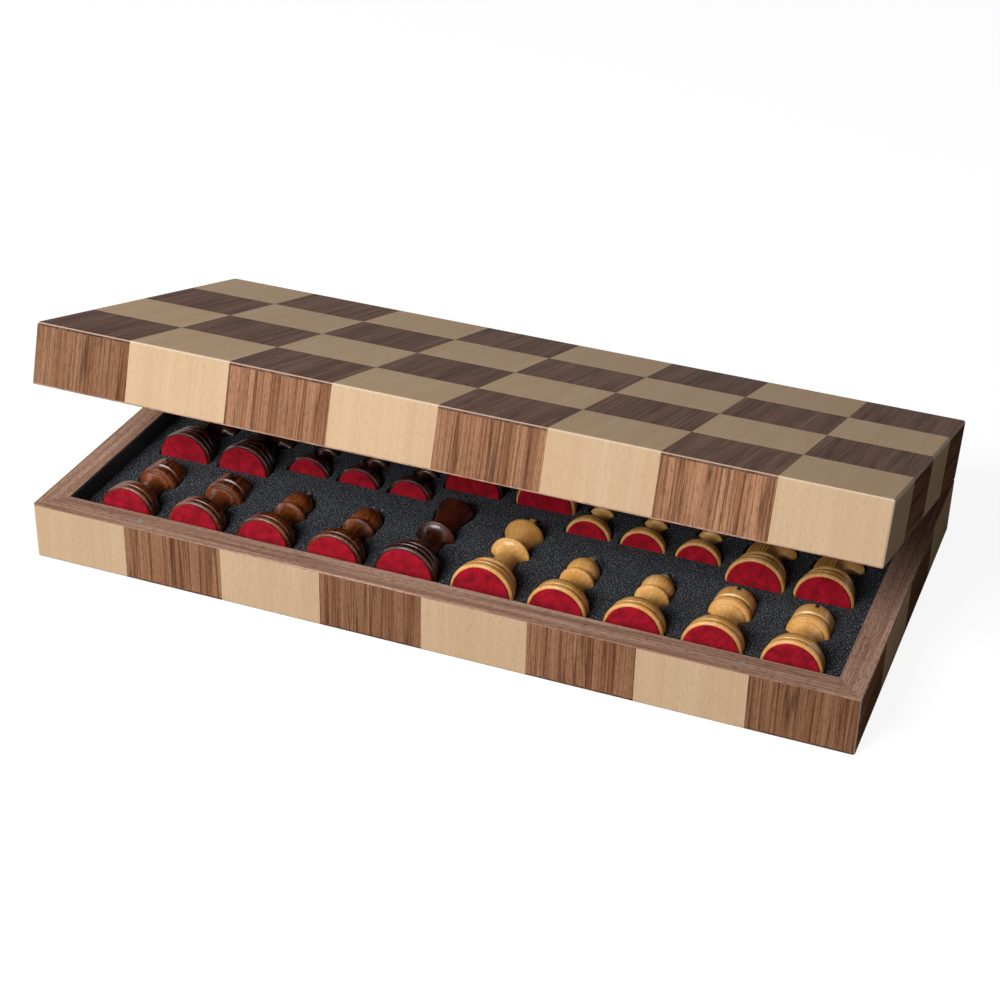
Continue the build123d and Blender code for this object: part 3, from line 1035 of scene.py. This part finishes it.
@dataclass
class ChessMan:
    """A turned chess piece with its felt, modelled once upright and copied into the bed.

    Args:
        name: what the piece is called.
        base: radius of the base.
        outline: steps up the turned side, in base radii.
        sides: facets round the turning.
        arc_count: steps along each arc of the side.
        edge_soft: rounding of the turned edges.
        felt_thick: thickness of the felt disc.
        felt_inset: how far the felt stops inside the base.
        felt_soft: rounding of the felt's edge.
        base_bevel: bevel round the foot.
        deep_stain_and_shade: whether the dark set's copies take the deeper stain, darkened further as
            painted shade.
        tilt: how far in degrees the head lies under the base's axis.
        bed_gap: clearance between the foot and the lined floor.
        pocket_gap: clearance round the piece in the foam.
        pocket_step: step of the pocket's outline up the piece.
        pocket_rounds: how often that outline is smoothed.
    """

    name: str
    base: float
    outline: Outline
    sides: int = 64
    arc_count: int = 9
    edge_soft: float = 0.14
    felt_thick: float = 1.0
    felt_inset: float = 1.2
    felt_soft: float = 0.35
    base_bevel: float = 0.8
    deep_stain_and_shade: bool = True
    tilt: float = 2.0
    bed_gap: float = 0.3
    pocket_gap: float = 0.4
    pocket_step: float = 0.8
    pocket_rounds: int = 2

    def profile(self) -> list[Point]:
        """Work out the turned side, from the felt up.

        Returns:
            The side as (radius, height) points in millimetres.
        """
        foot = self.felt_thick
        points = [(self.base - self.base_bevel, foot), (self.base, foot + self.base_bevel)]
        for step in self.outline:
            sized = [value * self.base for value in step]
            *through, end = zip(sized[::2], sized[1::2])
            points += arc_steps(points[-1], *through, end, self.arc_count) if through else [end]
        return points

    def turn(self) -> Object:
        """Turn the side up from the foot's ring, ring by ring.

        Returns:
            The turned body, upright and closed.
        """
        (radius, height), *rings = self.profile()
        body = start_from("circle", vertices=self.sides, radius=radius * MM, fill_type="NGON")
        body.data.transform(Matrix.Translation((0, 0, height * MM)))
        with editing(body):
            select(body, Element.EDGE, lambda edge: True)
            for next_radius, next_height in rings:
                rise = {"value": (0, 0, (next_height - height) * MM)}
                bpy.ops.mesh.extrude_edges_move(TRANSFORM_OT_translate=rise)
                if next_radius == 0:
                    bpy.ops.mesh.merge(type="CENTER")
                    break
                grow = next_radius / radius
                bpy.ops.transform.resize(value=(grow, grow, 1))
                radius, height = next_radius, next_height
            face_outward()
        return body

    def carve(self) -> Object:
        """Model the wood of the piece.

        Returns:
            The wood, upright and finished in shape.
        """
        body = self.turn()
        soften(body, self.edge_soft)
        return body

    def felt(self) -> Object:
        """Cut the felt disc, ring its face, and round its edge a little.

        Returns:
            The disc, upright under the foot.
        """
        radius = self.base - self.felt_inset
        rings = 4
        disc = start_from("cylinder", vertices=self.sides, radius=radius * MM, depth=self.felt_thick * MM)
        move_mesh(disc, Matrix.Translation((0, 0, self.felt_thick / 2 * MM)))
        with editing(disc):
            select(disc, Element.FACE, lambda face: face.normal.z < -FACING)
            for _ in range(rings):
                bpy.ops.mesh.inset(thickness=radius / (rings + 2) * MM)
        soften(disc, self.felt_soft, angle=50.0, segments=3)
        return disc

    def rest_height(self) -> float:
        """Find how high a piece lies in the bed.

        Returns:
            Height of the base's centre when its rim lies over the lined floor.
        """
        lean = math.radians(self.tilt)
        band = self.outline[0][1] * self.base
        return CASE.floor + CASE.lining + self.bed_gap + self.base * math.cos(lean) + band * math.sin(lean)

    def lie(self, x: float, y: float) -> Matrix:
        """The way from the upright piece to its place in the bed, for its base's centre in plan."""
        place = Matrix.Translation(Vector((x, y, self.rest_height())) * MM)
        return place @ Matrix.Rotation(math.radians(-90 - self.tilt), 4, "X")

    def reach(self, height: float) -> Point:
        """Find how far the piece stands out near a height.

        Args:
            height: the height up its axis.

        Returns:
            Where its left and right side lie.
        """
        near = (-self.pocket_step, 0, self.pocket_step)
        widest = max(width_at(self.profile(), height + step) for step in near)
        return -widest, widest

    def top(self) -> float:
        """Height of the piece."""
        return self.profile()[-1][1]

    def pocket(self, x: float, y: float) -> list[Point]:
        """Outline of the piece's pocket in the foam.

        Args:
            x: line of the piece.
            y: place of its base's centre.

        Returns:
            The closed outline in plan, counted anticlockwise.
        """
        gap = self.pocket_gap
        start = -self.base * math.sin(math.radians(self.tilt)) - gap
        count = round(self.top() / self.pocket_step)
        levels = [self.top() * k / count for k in range(count + 1)]
        spans = [self.reach(level) for level in levels]
        for _ in range(self.pocket_rounds):
            trios = zip([spans[0], *spans], spans, [*spans[1:], spans[-1]])
            spans = [((a[0] + 2 * b[0] + c[0]) / 4, (a[1] + 2 * b[1] + c[1]) / 4) for a, b, c in trios]
        levels = [start, *levels[:-1], self.top() + gap]
        spans = [spans[0], *spans]
        right = [(high + gap, level) for (_, high), level in zip(spans, levels)]
        left = [(low - gap, level) for (low, _), level in zip(spans, levels)]
        return [(x + px, y + py) for px, py in (*right, *reversed(left))]


@dataclass
class Rook(ChessMan):
    """The rook, with four narrow notches in its crown.

    Args:
        crown: level of the notches' floor, in base radii.
        notches: number of notches.
        notch_sides: facets that a notch takes.
        notch_depth: depth of a notch.
    """

    crown: float = 2.822
    name: str = "rook"
    base: float = 13.5
    outline: Outline = MINOR_FOOT + (
        (0.563, 1.1, 0.44, 1.46), (0.43, 1.68), (0.45, 1.9, 0.55, 2.03), (0.56, 2.08), (0.68, 2.1),
        (0.725, 2.24, 0.69, 2.38), (0.63, 2.41), (0.63, 2.47), (0.7, 2.5), (0.693, crown), (0.474, crown),
        (0.474, 2.77), (0.0, 2.74),
    )
    deep_stain_and_shade: bool = False
    notches: int = 4
    notch_sides: int = 2
    notch_depth: float = 2.4

    def carve(self) -> Object:
        """Turn the body, then raise the crown between the notches.

        Returns:
            The wood, upright and finished in shape.
        """
        body = self.turn()
        level = self.crown * self.base * MM
        run = self.sides // self.notches

        def in_crown(face: bmesh.types.BMFace) -> bool:
            """Test whether a face of the crown stands clear of the notches.

            Args:
                face: a face of the turned body.

            Returns:
                True where the face is raised.
            """
            middle = face.calc_center_median()
            if abs(middle.z - level) > WELD * MM or face.normal.z < FACING:
                return False
            turn = math.atan2(middle.y, middle.x) / math.tau * self.sides
            return math.floor(turn) % run >= self.notch_sides

        with editing(body):
            select(body, Element.FACE, in_crown)
            rise = {"value": (0, 0, self.notch_depth * MM)}
            bpy.ops.mesh.extrude_region_move(TRANSFORM_OT_translate=rise)
        soften(body, self.edge_soft)
        return body

    def top(self) -> float:
        """Height of the crown."""
        return self.crown * self.base + self.notch_depth


@dataclass
class Bishop(ChessMan):
    """The bishop, with an umbrella collar, an egg head and a ball."""

    name: str = "bishop"
    base: float = 13.5
    outline: Outline = MINOR_FOOT + (
        (0.548, 1.06, 0.415, 1.38), (0.393, 1.6), (0.43, 1.83, 0.59, 2.04), (0.605, 2.1),
        (0.54, 2.2, 0.43, 2.23), (0.43, 2.29), (0.575, 2.7, 0.36, 3.17), (0.22, 3.3, 0.12, 3.37),
        (0.15, 3.43), (0.185, 3.55, 0.04, 3.66), (0.0, 3.66),
    )
    deep_stain_and_shade: bool = False


@dataclass
class Pawn(ChessMan):
    """The pawn, with a small collar and a round head."""

    name: str = "pawn"
    base: float = 10.9992
    outline: Outline = (
        (1.0, 0.29), (0.92, 0.32), (0.92, 0.375), (0.955, 0.4), (0.925, 0.6, 0.762, 0.838),
        (0.514, 1.038, 0.41, 1.429), (0.381, 1.752), (0.419, 1.886, 0.571, 1.962), (0.59, 2.029),
        (0.514, 2.114, 0.4, 2.152), (0.343, 2.2), (0.6, 2.695, 0.05, 3.293), (0.0, 3.293),
    )


@dataclass
class Queen(ChessMan):
    """The queen, with a flared coronet and a ball."""

    name: str = "queen"
    base: float = 14.496
    outline: Outline = ROYAL_FOOT + (
        (0.46, 3.44, 0.65, 4.12), (0.62, 4.17), (0.5, 4.14), (0.165, 4.225), (0.11, 4.252),
        (0.152, 4.349, 0.03, 4.428), (0.0, 4.428),
    )


@dataclass
class King(ChessMan):
    """The king, with a domed cup and a small cross.

    Args:
        cross_height: height of the cross.
        cross_level: how far up the cross its arms stand, from 0 to 1.
        cross_span: width of its arms.
        cross_bar: width of its bars.
        cross_thick: thickness of the cross.
        cross_soft: rounding of its edges.
    """

    name: str = "king"
    base: float = 14.496
    outline: Outline = ROYAL_FOOT + (
        (0.45, 3.2, 0.65, 3.72), (0.65, 3.78), (0.46, 4.0, 0.16, 4.1), (0.12, 4.14), (0.0, 4.14),
    )
    cross_height: float = 8.0
    cross_level: float = 0.6
    cross_span: float = 8.0
    cross_bar: float = 2.6
    cross_thick: float = 3.0
    cross_soft: float = 0.3

    def carve(self) -> Object:
        """Turn the body and draw the cross's arms out of its post.

        Returns:
            The wood, upright and finished in shape.
        """
        low = super().top()
        size = (self.cross_thick, self.cross_bar, self.cross_height)
        body = super().carve()
        cross = start_block(size, low + self.cross_height / 2)
        bar = low + self.cross_level * self.cross_height
        under, over = ((bar + side * self.cross_bar / 2) * MM for side in (-1, 1))

        def in_arms(face: bmesh.types.BMFace) -> bool:
            """Whether an arm grows out of a face of the post."""
            return abs(face.normal.y) > FACING and under < face.calc_center_median().z < over

        with editing(cross):
            for level in (under, over):
                bpy.ops.mesh.select_all(action="SELECT")
                bpy.ops.mesh.bisect(plane_co=(0, 0, level), plane_no=(0, 0, 1))
            select(cross, Element.FACE, in_arms)
            arm = (self.cross_span - self.cross_bar) / 2 * MM
            bpy.ops.mesh.extrude_region_shrink_fatten(TRANSFORM_OT_shrink_fatten={"value": arm})
        soften(cross, self.cross_soft)
        return join(body, cross)

    def reach(self, height: float) -> Point:
        """How far the body, or the cross above it, stands out near a height."""
        widest = max(super().reach(height)[1], self.cross_thick / 2)
        return -widest, widest

    def top(self) -> float:
        """Height of the cross's top."""
        return super().top() + self.cross_height


@dataclass
class Knight(ChessMan):
    """The knight: a turned foot, and a horse's head lofted from the neck to the muzzle.

    Places and sizes on the head are in base radii.

    Args:
        stations: the head's cuts: (back x, back z, front x, front z, half thickness).
        station_sides: facets round a cut.
        mane: the line of the mane up the neck.
        strands: each strand's set-in from that line, its place on the flank, and how many of the line's
            points it follows.
        strand_radius: radius of a strand, in millimetres.
        ear_spot: place of the right ear.
        ear_lean: how far in degrees the ears lean.
        ear_tip: height of the ears' tips.
        beads: place and half sizes of the right eye and nostril.
        bead_lean: how far in degrees these slant.
        bead_rim: how nearly sideways the faces inside their rims look, as a cosine.
        slack: how far, in millimetres, a cut still holds the pocket open.
        mane_stand: how far, in millimetres, the mane stands out of the neck.
    """

    name: str = "knight"
    base: float = 13.5
    outline: Outline = (
        (1.0, 0.26), (0.925, 0.29), (0.925, 0.345), (0.965, 0.37), (0.94, 0.53, 0.83, 0.68), (0.8, 0.7),
        (0.8, 0.735), (0.87, 0.85, 0.83, 0.97), (0.78, 1.0), (0.78, 1.1), (0.0, 1.1),
    )
    stations: Outline = (
        (-0.68, 1.08, 0.66, 1.08, 0.42), (-0.78, 1.5, 0.57, 1.46, 0.41), (-0.8, 1.9, 0.4, 1.84, 0.39),
        (-0.76, 2.35, 0.3, 2.1, 0.38), (-0.62, 2.78, 0.38, 2.22, 0.38), (-0.36, 3.1, 0.5, 2.2, 0.38),
        (-0.02, 3.28, 0.62, 2.17, 0.36), (0.3, 3.1, 0.7, 2.17, 0.31), (0.55, 2.84, 0.77, 2.18, 0.26),
        (0.76, 2.58, 0.83, 2.22, 0.22), (0.86, 2.44, 0.87, 2.3, 0.14),
    )
    station_sides: int = 16
    mane: Outline = (
        (-0.66, 1.12), (-0.77, 1.6), (-0.76, 2.2), (-0.6, 2.76), (-0.3, 3.14), (-0.06, 3.24),
    )
    strands: tuple[tuple[float, float, int], ...] = (
        (0.02, 0.0, 6), (0.06, 0.15, 6), (0.14, 0.24, 6), (0.24, 0.31, 6), (0.35, 0.355, 6),
        (0.46, 0.385, 5), (0.57, 0.4, 4), (0.68, 0.405, 4),
    )
    strand_radius: float = 0.75
    ear_spot: tuple[float, ...] = (0.0, 0.2, 3.28)
    ear_lean: float = -14.0
    ear_tip: float = 3.52
    beads: tuple[Outline, ...] = (
        ((0.28, 0.315, 2.84), (0.085, 0.05, 0.06)),
        ((0.75, 0.185, 2.45), (0.05, 0.04, 0.04)),
    )
    bead_lean: float = 40.0
    bead_rim: float = 0.8
    slack: float = 2.0
    mane_stand: float = 0.8

    def loft(self) -> Object:
        """Loft the head through its cuts.

        Returns:
            The head's main form, closed and smoothed.
        """
        ring = {"vertices": self.station_sides, "radius": 1}
        head = start_from("circle", **ring)
        with editing(head):
            bpy.ops.mesh.select_all(action="SELECT")
            for k, (back_x, back_z, front_x, front_z, thick) in enumerate(self.stations):
                if k:
                    bpy.ops.mesh.select_all(action="DESELECT")
                    bpy.ops.mesh.primitive_circle_add(**ring)
                half = math.hypot(front_x - back_x, front_z - back_z) / 2
                slope = math.atan2(front_z - back_z, front_x - back_x)
                wide, deep = half * self.base * MM, thick * self.base * MM
                bpy.ops.transform.resize(value=(wide, deep, 1), center_override=(0, 0, 0))
                bpy.ops.transform.rotate(value=slope, orient_axis="Y", center_override=(0, 0, 0))
                middle = ((front_x + back_x) / 2, 0, (front_z + back_z) / 2)
                bpy.ops.transform.translate(value=Vector(middle) * self.base * MM)
                if k:
                    mesh = bmesh.from_edit_mesh(head.data)
                    mesh.verts.ensure_lookup_table()
                    for vertex in mesh.verts[(k - 1) * self.station_sides :]:
                        vertex.select_set(True)
                    mesh.select_flush(True)
                    bmesh.update_edit_mesh(head.data)
                    bpy.ops.mesh.bridge_edge_loops()
            select(head, Element.EDGE, lambda edge: edge.is_boundary)
            bpy.ops.mesh.edge_face_add()
            face_outward()
        apply_modifier(head, "SUBSURF", levels=2, render_levels=2)
        return head

    def ears_and_eyes(self) -> list[Object]:
        """Shape two ears, two eyes and two nostril rims.

        Returns:
            The small forms, in place on the head.
        """
        made = []
        for side in (-1, 1):
            ear = start_from("cone", vertices=12, radius1=0.19, radius2=0.03, depth=0.46)
            with editing(ear):
                bpy.ops.mesh.select_all(action="SELECT")
                bpy.ops.mesh.bevel(offset=0.03, segments=2)
            self.put(ear, self.ear_spot, side, self.ear_lean, stretch=(0.9, 0.6, 1))
            made.append(ear)
            for spot, size in self.beads:
                bead = start_from("uv_sphere", segments=16, ring_count=10, radius=1)
                with editing(bead):
                    select(bead, Element.FACE, lambda face: side * face.normal.y > self.bead_rim)
                    bpy.ops.mesh.inset(thickness=0.08)
                self.put(bead, spot, side, self.bead_lean, stretch=size)
                made.append(bead)
        return made

    def put(
        self, piece: Object, spot: Sequence[float], side: int, lean: float, stretch: Sequence[float]
    ) -> None:
        """Size a small form in base radii and set it on one side of the head.

        Args:
            piece: the form, made at the origin.
            spot: its place on the right side.
            side: 1 for the right side, -1 for the left.
            lean: how far in degrees it leans.
            stretch: its stretch on each axis.
        """
        size = self.base * MM
        x, y, z = spot
        shape = Matrix.Rotation(math.radians(lean), 4, "Y") @ Matrix.Diagonal((*stretch, 1))
        place = Matrix.Translation(Vector((x, side * y, z)) * size)
        move_mesh(piece, place @ Matrix.Scale(size, 4) @ shape)

    def cut_mane(self) -> list[Object]:
        """Run the mane's strands up both flanks of the neck.

        Returns:
            The strands, each a round bead along the neck.
        """
        points = [Vector((x, 0, z)) for x, z in self.mane]
        made = []
        for inset, flank, count in self.strands:
            for side in (-1, 1) if flank else (1,):
                drawing = bpy.data.curves.new("strand", "CURVE")
                drawing.dimensions = "3D"
                drawing.bevel_depth = self.strand_radius * MM
                drawing.bevel_resolution = 2
                drawing.use_fill_caps = True
                spline = drawing.splines.new("NURBS")
                spline.points.add(count - 1)
                spline.use_endpoint_u = True
                spline.order_u = 3
                spline.resolution_u = 5
                for k, point in enumerate(points[:count]):
                    run = points[min(k + 1, len(points) - 1)] - points[max(k - 1, 0)]
                    inward = Vector((run.z, 0, -run.x)).normalized() * inset
                    spot = (point + inward + Vector((0, side * flank, 0))) * self.base * MM
                    spline.points[k].co = (*spot, 1)
                made.append(to_mesh(drawing))
        return made

    def carve(self) -> Object:
        """Turn the foot and set the carved head on it.

        Returns:
            The wood, upright and finished in shape.
        """
        foot = super().carve()
        head = join(self.loft(), *self.ears_and_eyes(), *self.cut_mane())
        shade(head, angle=50.0)
        return join(foot, head)

    def reach(self, height: float) -> Point:
        """Find how far the foot and the head stand out near a height.

        Args:
            height: the height up the axis.

        Returns:
            Where the left and right side lie.
        """
        foot = width_at(self.profile(), height) if height < super().top() else 0.0
        low, high = [-foot], [foot]
        for back_x, back_z, front_x, front_z, _ in self.stations:
            bottom, top = (pick(back_z, front_z) * self.base for pick in (min, max))
            if bottom - self.slack < height < top + self.slack:
                low.append(back_x * self.base - self.mane_stand)
                high.append(front_x * self.base)
        return min(low), max(high)

    def top(self) -> float:
        """Height of the ears' tips."""
        return self.ear_tip * self.base


# The six patterns
MEN = {man.name: man for man in (Rook(), Bishop(), Knight(), Queen(), King(), Pawn())}
# Each colour's wood as it stains lightly, and as it stains deeply with painted shade
WOODS = {Colour.DARK: (DARK_WOOD, DEEP_AND_SHADED_WOOD), Colour.LIGHT: (LIGHT_WOOD, LIGHT_WOOD)}


@dataclass(frozen=True)
class Bed:
    """The foam bed and the pieces that lie in it.

    Files are counted out from the middle and rows from front to back, in squares.

    Args:
        royal_file: line of the royals.
        front_step: step between files in the front row.
        pawn_file: line of the first pawns.
        pawn_step: step between pawns.
        pawn_files: how many lines of pawns stand side by side.
        knight_files: lines of the knights.
        front_row: base line of the front row.
        knight_row: base line of the knights.
        pawn_row: base line of the first pawns.
        royal_row: base line of the second royals.
        back_row: base line of the last pawns.
        edge_round: rounding of the foam's cut edges, in millimetres.
    """

    royal_file: float = 0.375
    front_step: float = 0.719
    pawn_file: float = 0.917
    pawn_step: float = 0.542
    pawn_files: int = 3
    knight_files: Point = (2.604, 3.25)
    front_row: float = -1.521
    knight_row: float = -0.375
    pawn_row: float = -0.156
    royal_row: float = 0.146
    back_row: float = 0.833
    edge_round: float = 0.5

    def places(self) -> list[tuple[str, Colour, ChessMan, float, float]]:
        """Lay the two sets out in the bed.

        Returns:
            Node, colour, pattern and place in plan of every piece, in millimetres.
        """
        made = []
        sets = ((Colour.DARK, -1, "queen", "king"), (Colour.LIGHT, 1, "king", "queen"))
        for colour, side, front, middle in sets:
            spots = [(front, front, self.royal_file, self.front_row)]
            spots.append((middle, middle, self.royal_file, self.royal_row))
            for k, letter in enumerate("ab"):
                step = self.royal_file + self.front_step * (k + 1)
                spots.append((f"bishop_{letter}", "bishop", step, self.front_row))
                spots.append((f"rook_{letter}", "rook", step + 2 * self.front_step, self.front_row))
                spots.append((f"knight_{letter}", "knight", self.knight_files[k], self.knight_row))
            files = [self.pawn_file + self.pawn_step * k for k in range(self.pawn_files)]
            lines = [(x, self.pawn_row) for x in files]
            lines += [(x, self.back_row) for x in (*files, *self.knight_files)]
            spots += [(f"pawn_{k + 1}", "pawn", x, y) for k, (x, y) in enumerate(lines)]
            for label, man, file, row in spots:
                node = f"{colour.value}_{label}"
                made.append((node, colour, MEN[man], side * file * CASE.square, row * CASE.square))
        return made

    def cut_foam(self) -> None:
        """Cut the bed with a rounded pocket for every piece."""
        half_x, half_y = CASE.foam()
        outlines = [[(half_x, -half_y), (half_x, half_y), (-half_x, half_y), (-half_x, -half_y)]]
        outlines += [man.pocket(x, y) for _, _, man, x, y in self.places()]
        drawing = bpy.data.curves.new("foam_outline", "CURVE")
        drawing.dimensions = "2D"
        drawing.fill_mode = "BOTH"
        drawing.extrude = (CASE.foam_thick / 2 - self.edge_round) * MM
        drawing.bevel_depth = self.edge_round * MM
        drawing.bevel_resolution = 2
        drawing.offset = -self.edge_round * MM
        for outline in outlines:
            spline = drawing.splines.new("POLY")
            spline.points.add(len(outline) - 1)
            for point, (x, y) in zip(spline.points, outline):
                point.co = (x * MM, y * MM, 0, 1)
            spline.use_cyclic_u = True
        piece = to_mesh(drawing)
        with editing(piece):
            bpy.ops.mesh.select_all(action="SELECT")
            bpy.ops.mesh.remove_doubles(threshold=WELD * MM)
            face_outward()
        middle = CASE.floor + CASE.lining + CASE.foam_thick / 2
        move_mesh(piece, Matrix.Translation((0, 0, middle * MM)))
        shade(piece)
        finish_piece(piece, "foam_bed", FOAM.material(), "tray", "foam_insert")

    def set_men(self) -> None:
        """Model each pattern once and lay its copies in the bed."""
        models: dict[str, tuple[Object, Object]] = {}
        for node, colour, man, x, y in self.places():
            if man.name not in models:
                models[man.name] = (man.carve(), man.felt())
            wood, felt = (copy_of(model, man.lie(x, y)) for model in models[man.name])
            stain = WOODS[colour][man.deep_stain_and_shade].material()
            finish_piece(wood, f"{node}_wood", stain, node, node)
            finish_piece(felt, f"{node}_felt", FELT.material(), node, node)
        for pair in models.values():
            for model in pair:
                bpy.data.objects.remove(model)


@dataclass(frozen=True)
class SoftBox:
    """A studio lamp behind a white cloth.

    Args:
        name: the lamp's name.
        spot: its place, in metres.
        size: width and height, in metres.
        power: its power, in watts.
        aim: the place that it faces, in metres.
    """

    name: str
    spot: tuple[float, float, float]
    size: Point
    power: float
    aim: tuple[float, float, float] = (0, 0, 0.05)

    def hang(self) -> None:
        """Hang the lamp so that it faces the case."""
        data = bpy.data.lights.new(self.name, "AREA")
        data.shape = "RECTANGLE"
        data.size, data.size_y = self.size
        data.energy = self.power
        lamp = bpy.data.objects.new(self.name, data)
        bpy.context.scene.collection.objects.link(lamp)
        lamp.location = self.spot
        facing = Vector(self.aim) - Vector(self.spot)
        lamp.rotation_euler = facing.to_track_quat("-Z", "Y").to_euler()


@dataclass(frozen=True)
class Studio:
    """The camera, the lamps, the pale floor and the white surroundings.

    Args:
        eye: the camera's place, in millimetres.
        right: the picture's right.
        up: the picture's up.
        lens: focal length.
        sensor: width of the picture behind the lens.
        floor_size: side of the floor, in metres.
        floor_tone: how much of its light the floor gives back.
        floor_glow: how bright the floor is seen to be beside that.
        fill: strength of the light from all around.
        lamps: the soft boxes: the key over the camera's left, and a weak one at the side.
    """

    eye: tuple[float, float, float] = (297.43, -795.88, 531.33)
    right: tuple[float, float, float] = (0.93110, 0.36405, 0.02295)
    up: tuple[float, float, float] = (-0.20533, 0.47109, 0.85785)
    lens: float = 77.3
    sensor: float = 36.0
    floor_size: float = 8.0
    floor_tone: float = 0.28
    floor_glow: float = 0.9
    fill: float = 0.1
    lamps: tuple[SoftBox, ...] = (
        SoftBox("key", spot=(-0.47, -1.18, 0.9), size=(0.9, 0.6), power=21.0),
        SoftBox("side", spot=(-1.4, -0.3, 0.7), size=(0.5, 0.8), power=2.0),
    )

    def camera(self) -> None:
        """Stand the camera at the photograph's viewpoint."""
        data = bpy.data.cameras.new("camera")
        data.lens = self.lens
        data.sensor_width = self.sensor
        data.clip_start, data.clip_end = 0.01, 50.0
        camera = bpy.data.objects.new("camera", data)
        bpy.context.scene.collection.objects.link(camera)
        right, up = Vector(self.right).normalized(), Vector(self.up)
        back = right.cross(up).normalized()
        up = back.cross(right)
        turn = Matrix((right, up, back)).transposed().to_4x4()
        camera.matrix_world = Matrix.Translation(Vector(self.eye) * MM) @ turn
        bpy.context.scene.camera = camera

    def floor(self) -> None:
        """Lay the pale floor, which shows white but keeps the case's shadow."""
        floor = start_from("plane", size=self.floor_size)
        floor.name = "studio_floor"
        material, tree = new_tree("studio_floor")
        matt = add_node(tree, "BsdfDiffuse", inputs={"Color": (*[self.floor_tone] * 3, 1)})
        seen = {0: self.seen(tree), 1: self.floor_glow}
        level = add_node(tree, "Math", {"operation": "MULTIPLY"}, seen)
        glow = add_node(tree, "Emission", inputs={"Strength": level})
        both = add_node(tree, "AddShader", inputs={0: matt, 1: glow})
        add_node(tree, "OutputMaterial", inputs={"Surface": both})
        floor.data.materials.append(material)

    def seen(self, tree: NodeTree) -> Socket:
        """One where the background is seen, straight or in a reflection, and zero where it lights.

        Args:
            tree: the tree to add to.

        Returns:
            The socket of that number.
        """
        path = add_node(tree, "LightPath")
        total = path.outputs["Is Camera Ray"]
        for kind in ("Is Glossy Ray", "Is Transmission Ray"):
            either = {0: total, 1: path.outputs[kind]}
            total = add_node(tree, "Math", {"operation": "MAXIMUM"}, either).outputs[0]
        return total

    def world(self) -> None:
        """Surround the case with white that lights it only a little."""
        world = bpy.data.worlds.new("studio")
        bpy.context.scene.world = world
        world.use_nodes = True
        tree = world.node_tree
        tree.nodes.clear()
        level = add_node(tree, "MapRange", inputs={0: self.seen(tree), 3: self.fill})
        sky = add_node(tree, "Background", inputs={"Color": (1, 1, 1, 1), "Strength": level})
        add_node(tree, "OutputWorld", inputs={"Surface": sky})

    def build(self) -> None:
        """Set up the whole studio."""
        bpy.context.scene.view_settings.view_transform = "Standard"
        self.camera()
        for lamp in self.lamps:
            lamp.hang()
        self.floor()
        self.world()


def main() -> None:
    """Dress the case, fill the bed and light the scene."""
    logging.basicConfig(level=logging.INFO, format="%(message)s")
    for half in Half:
        box = HalfBox(half)
        box.dress()
        box.line()
        if half is Half.LID:
            box.pad()
    coat("hinge_pins", BRASS.material())
    bed = Bed()
    bed.cut_foam()
    bed.set_men()
    Studio().build()


if __name__ == "__main__":
    main()
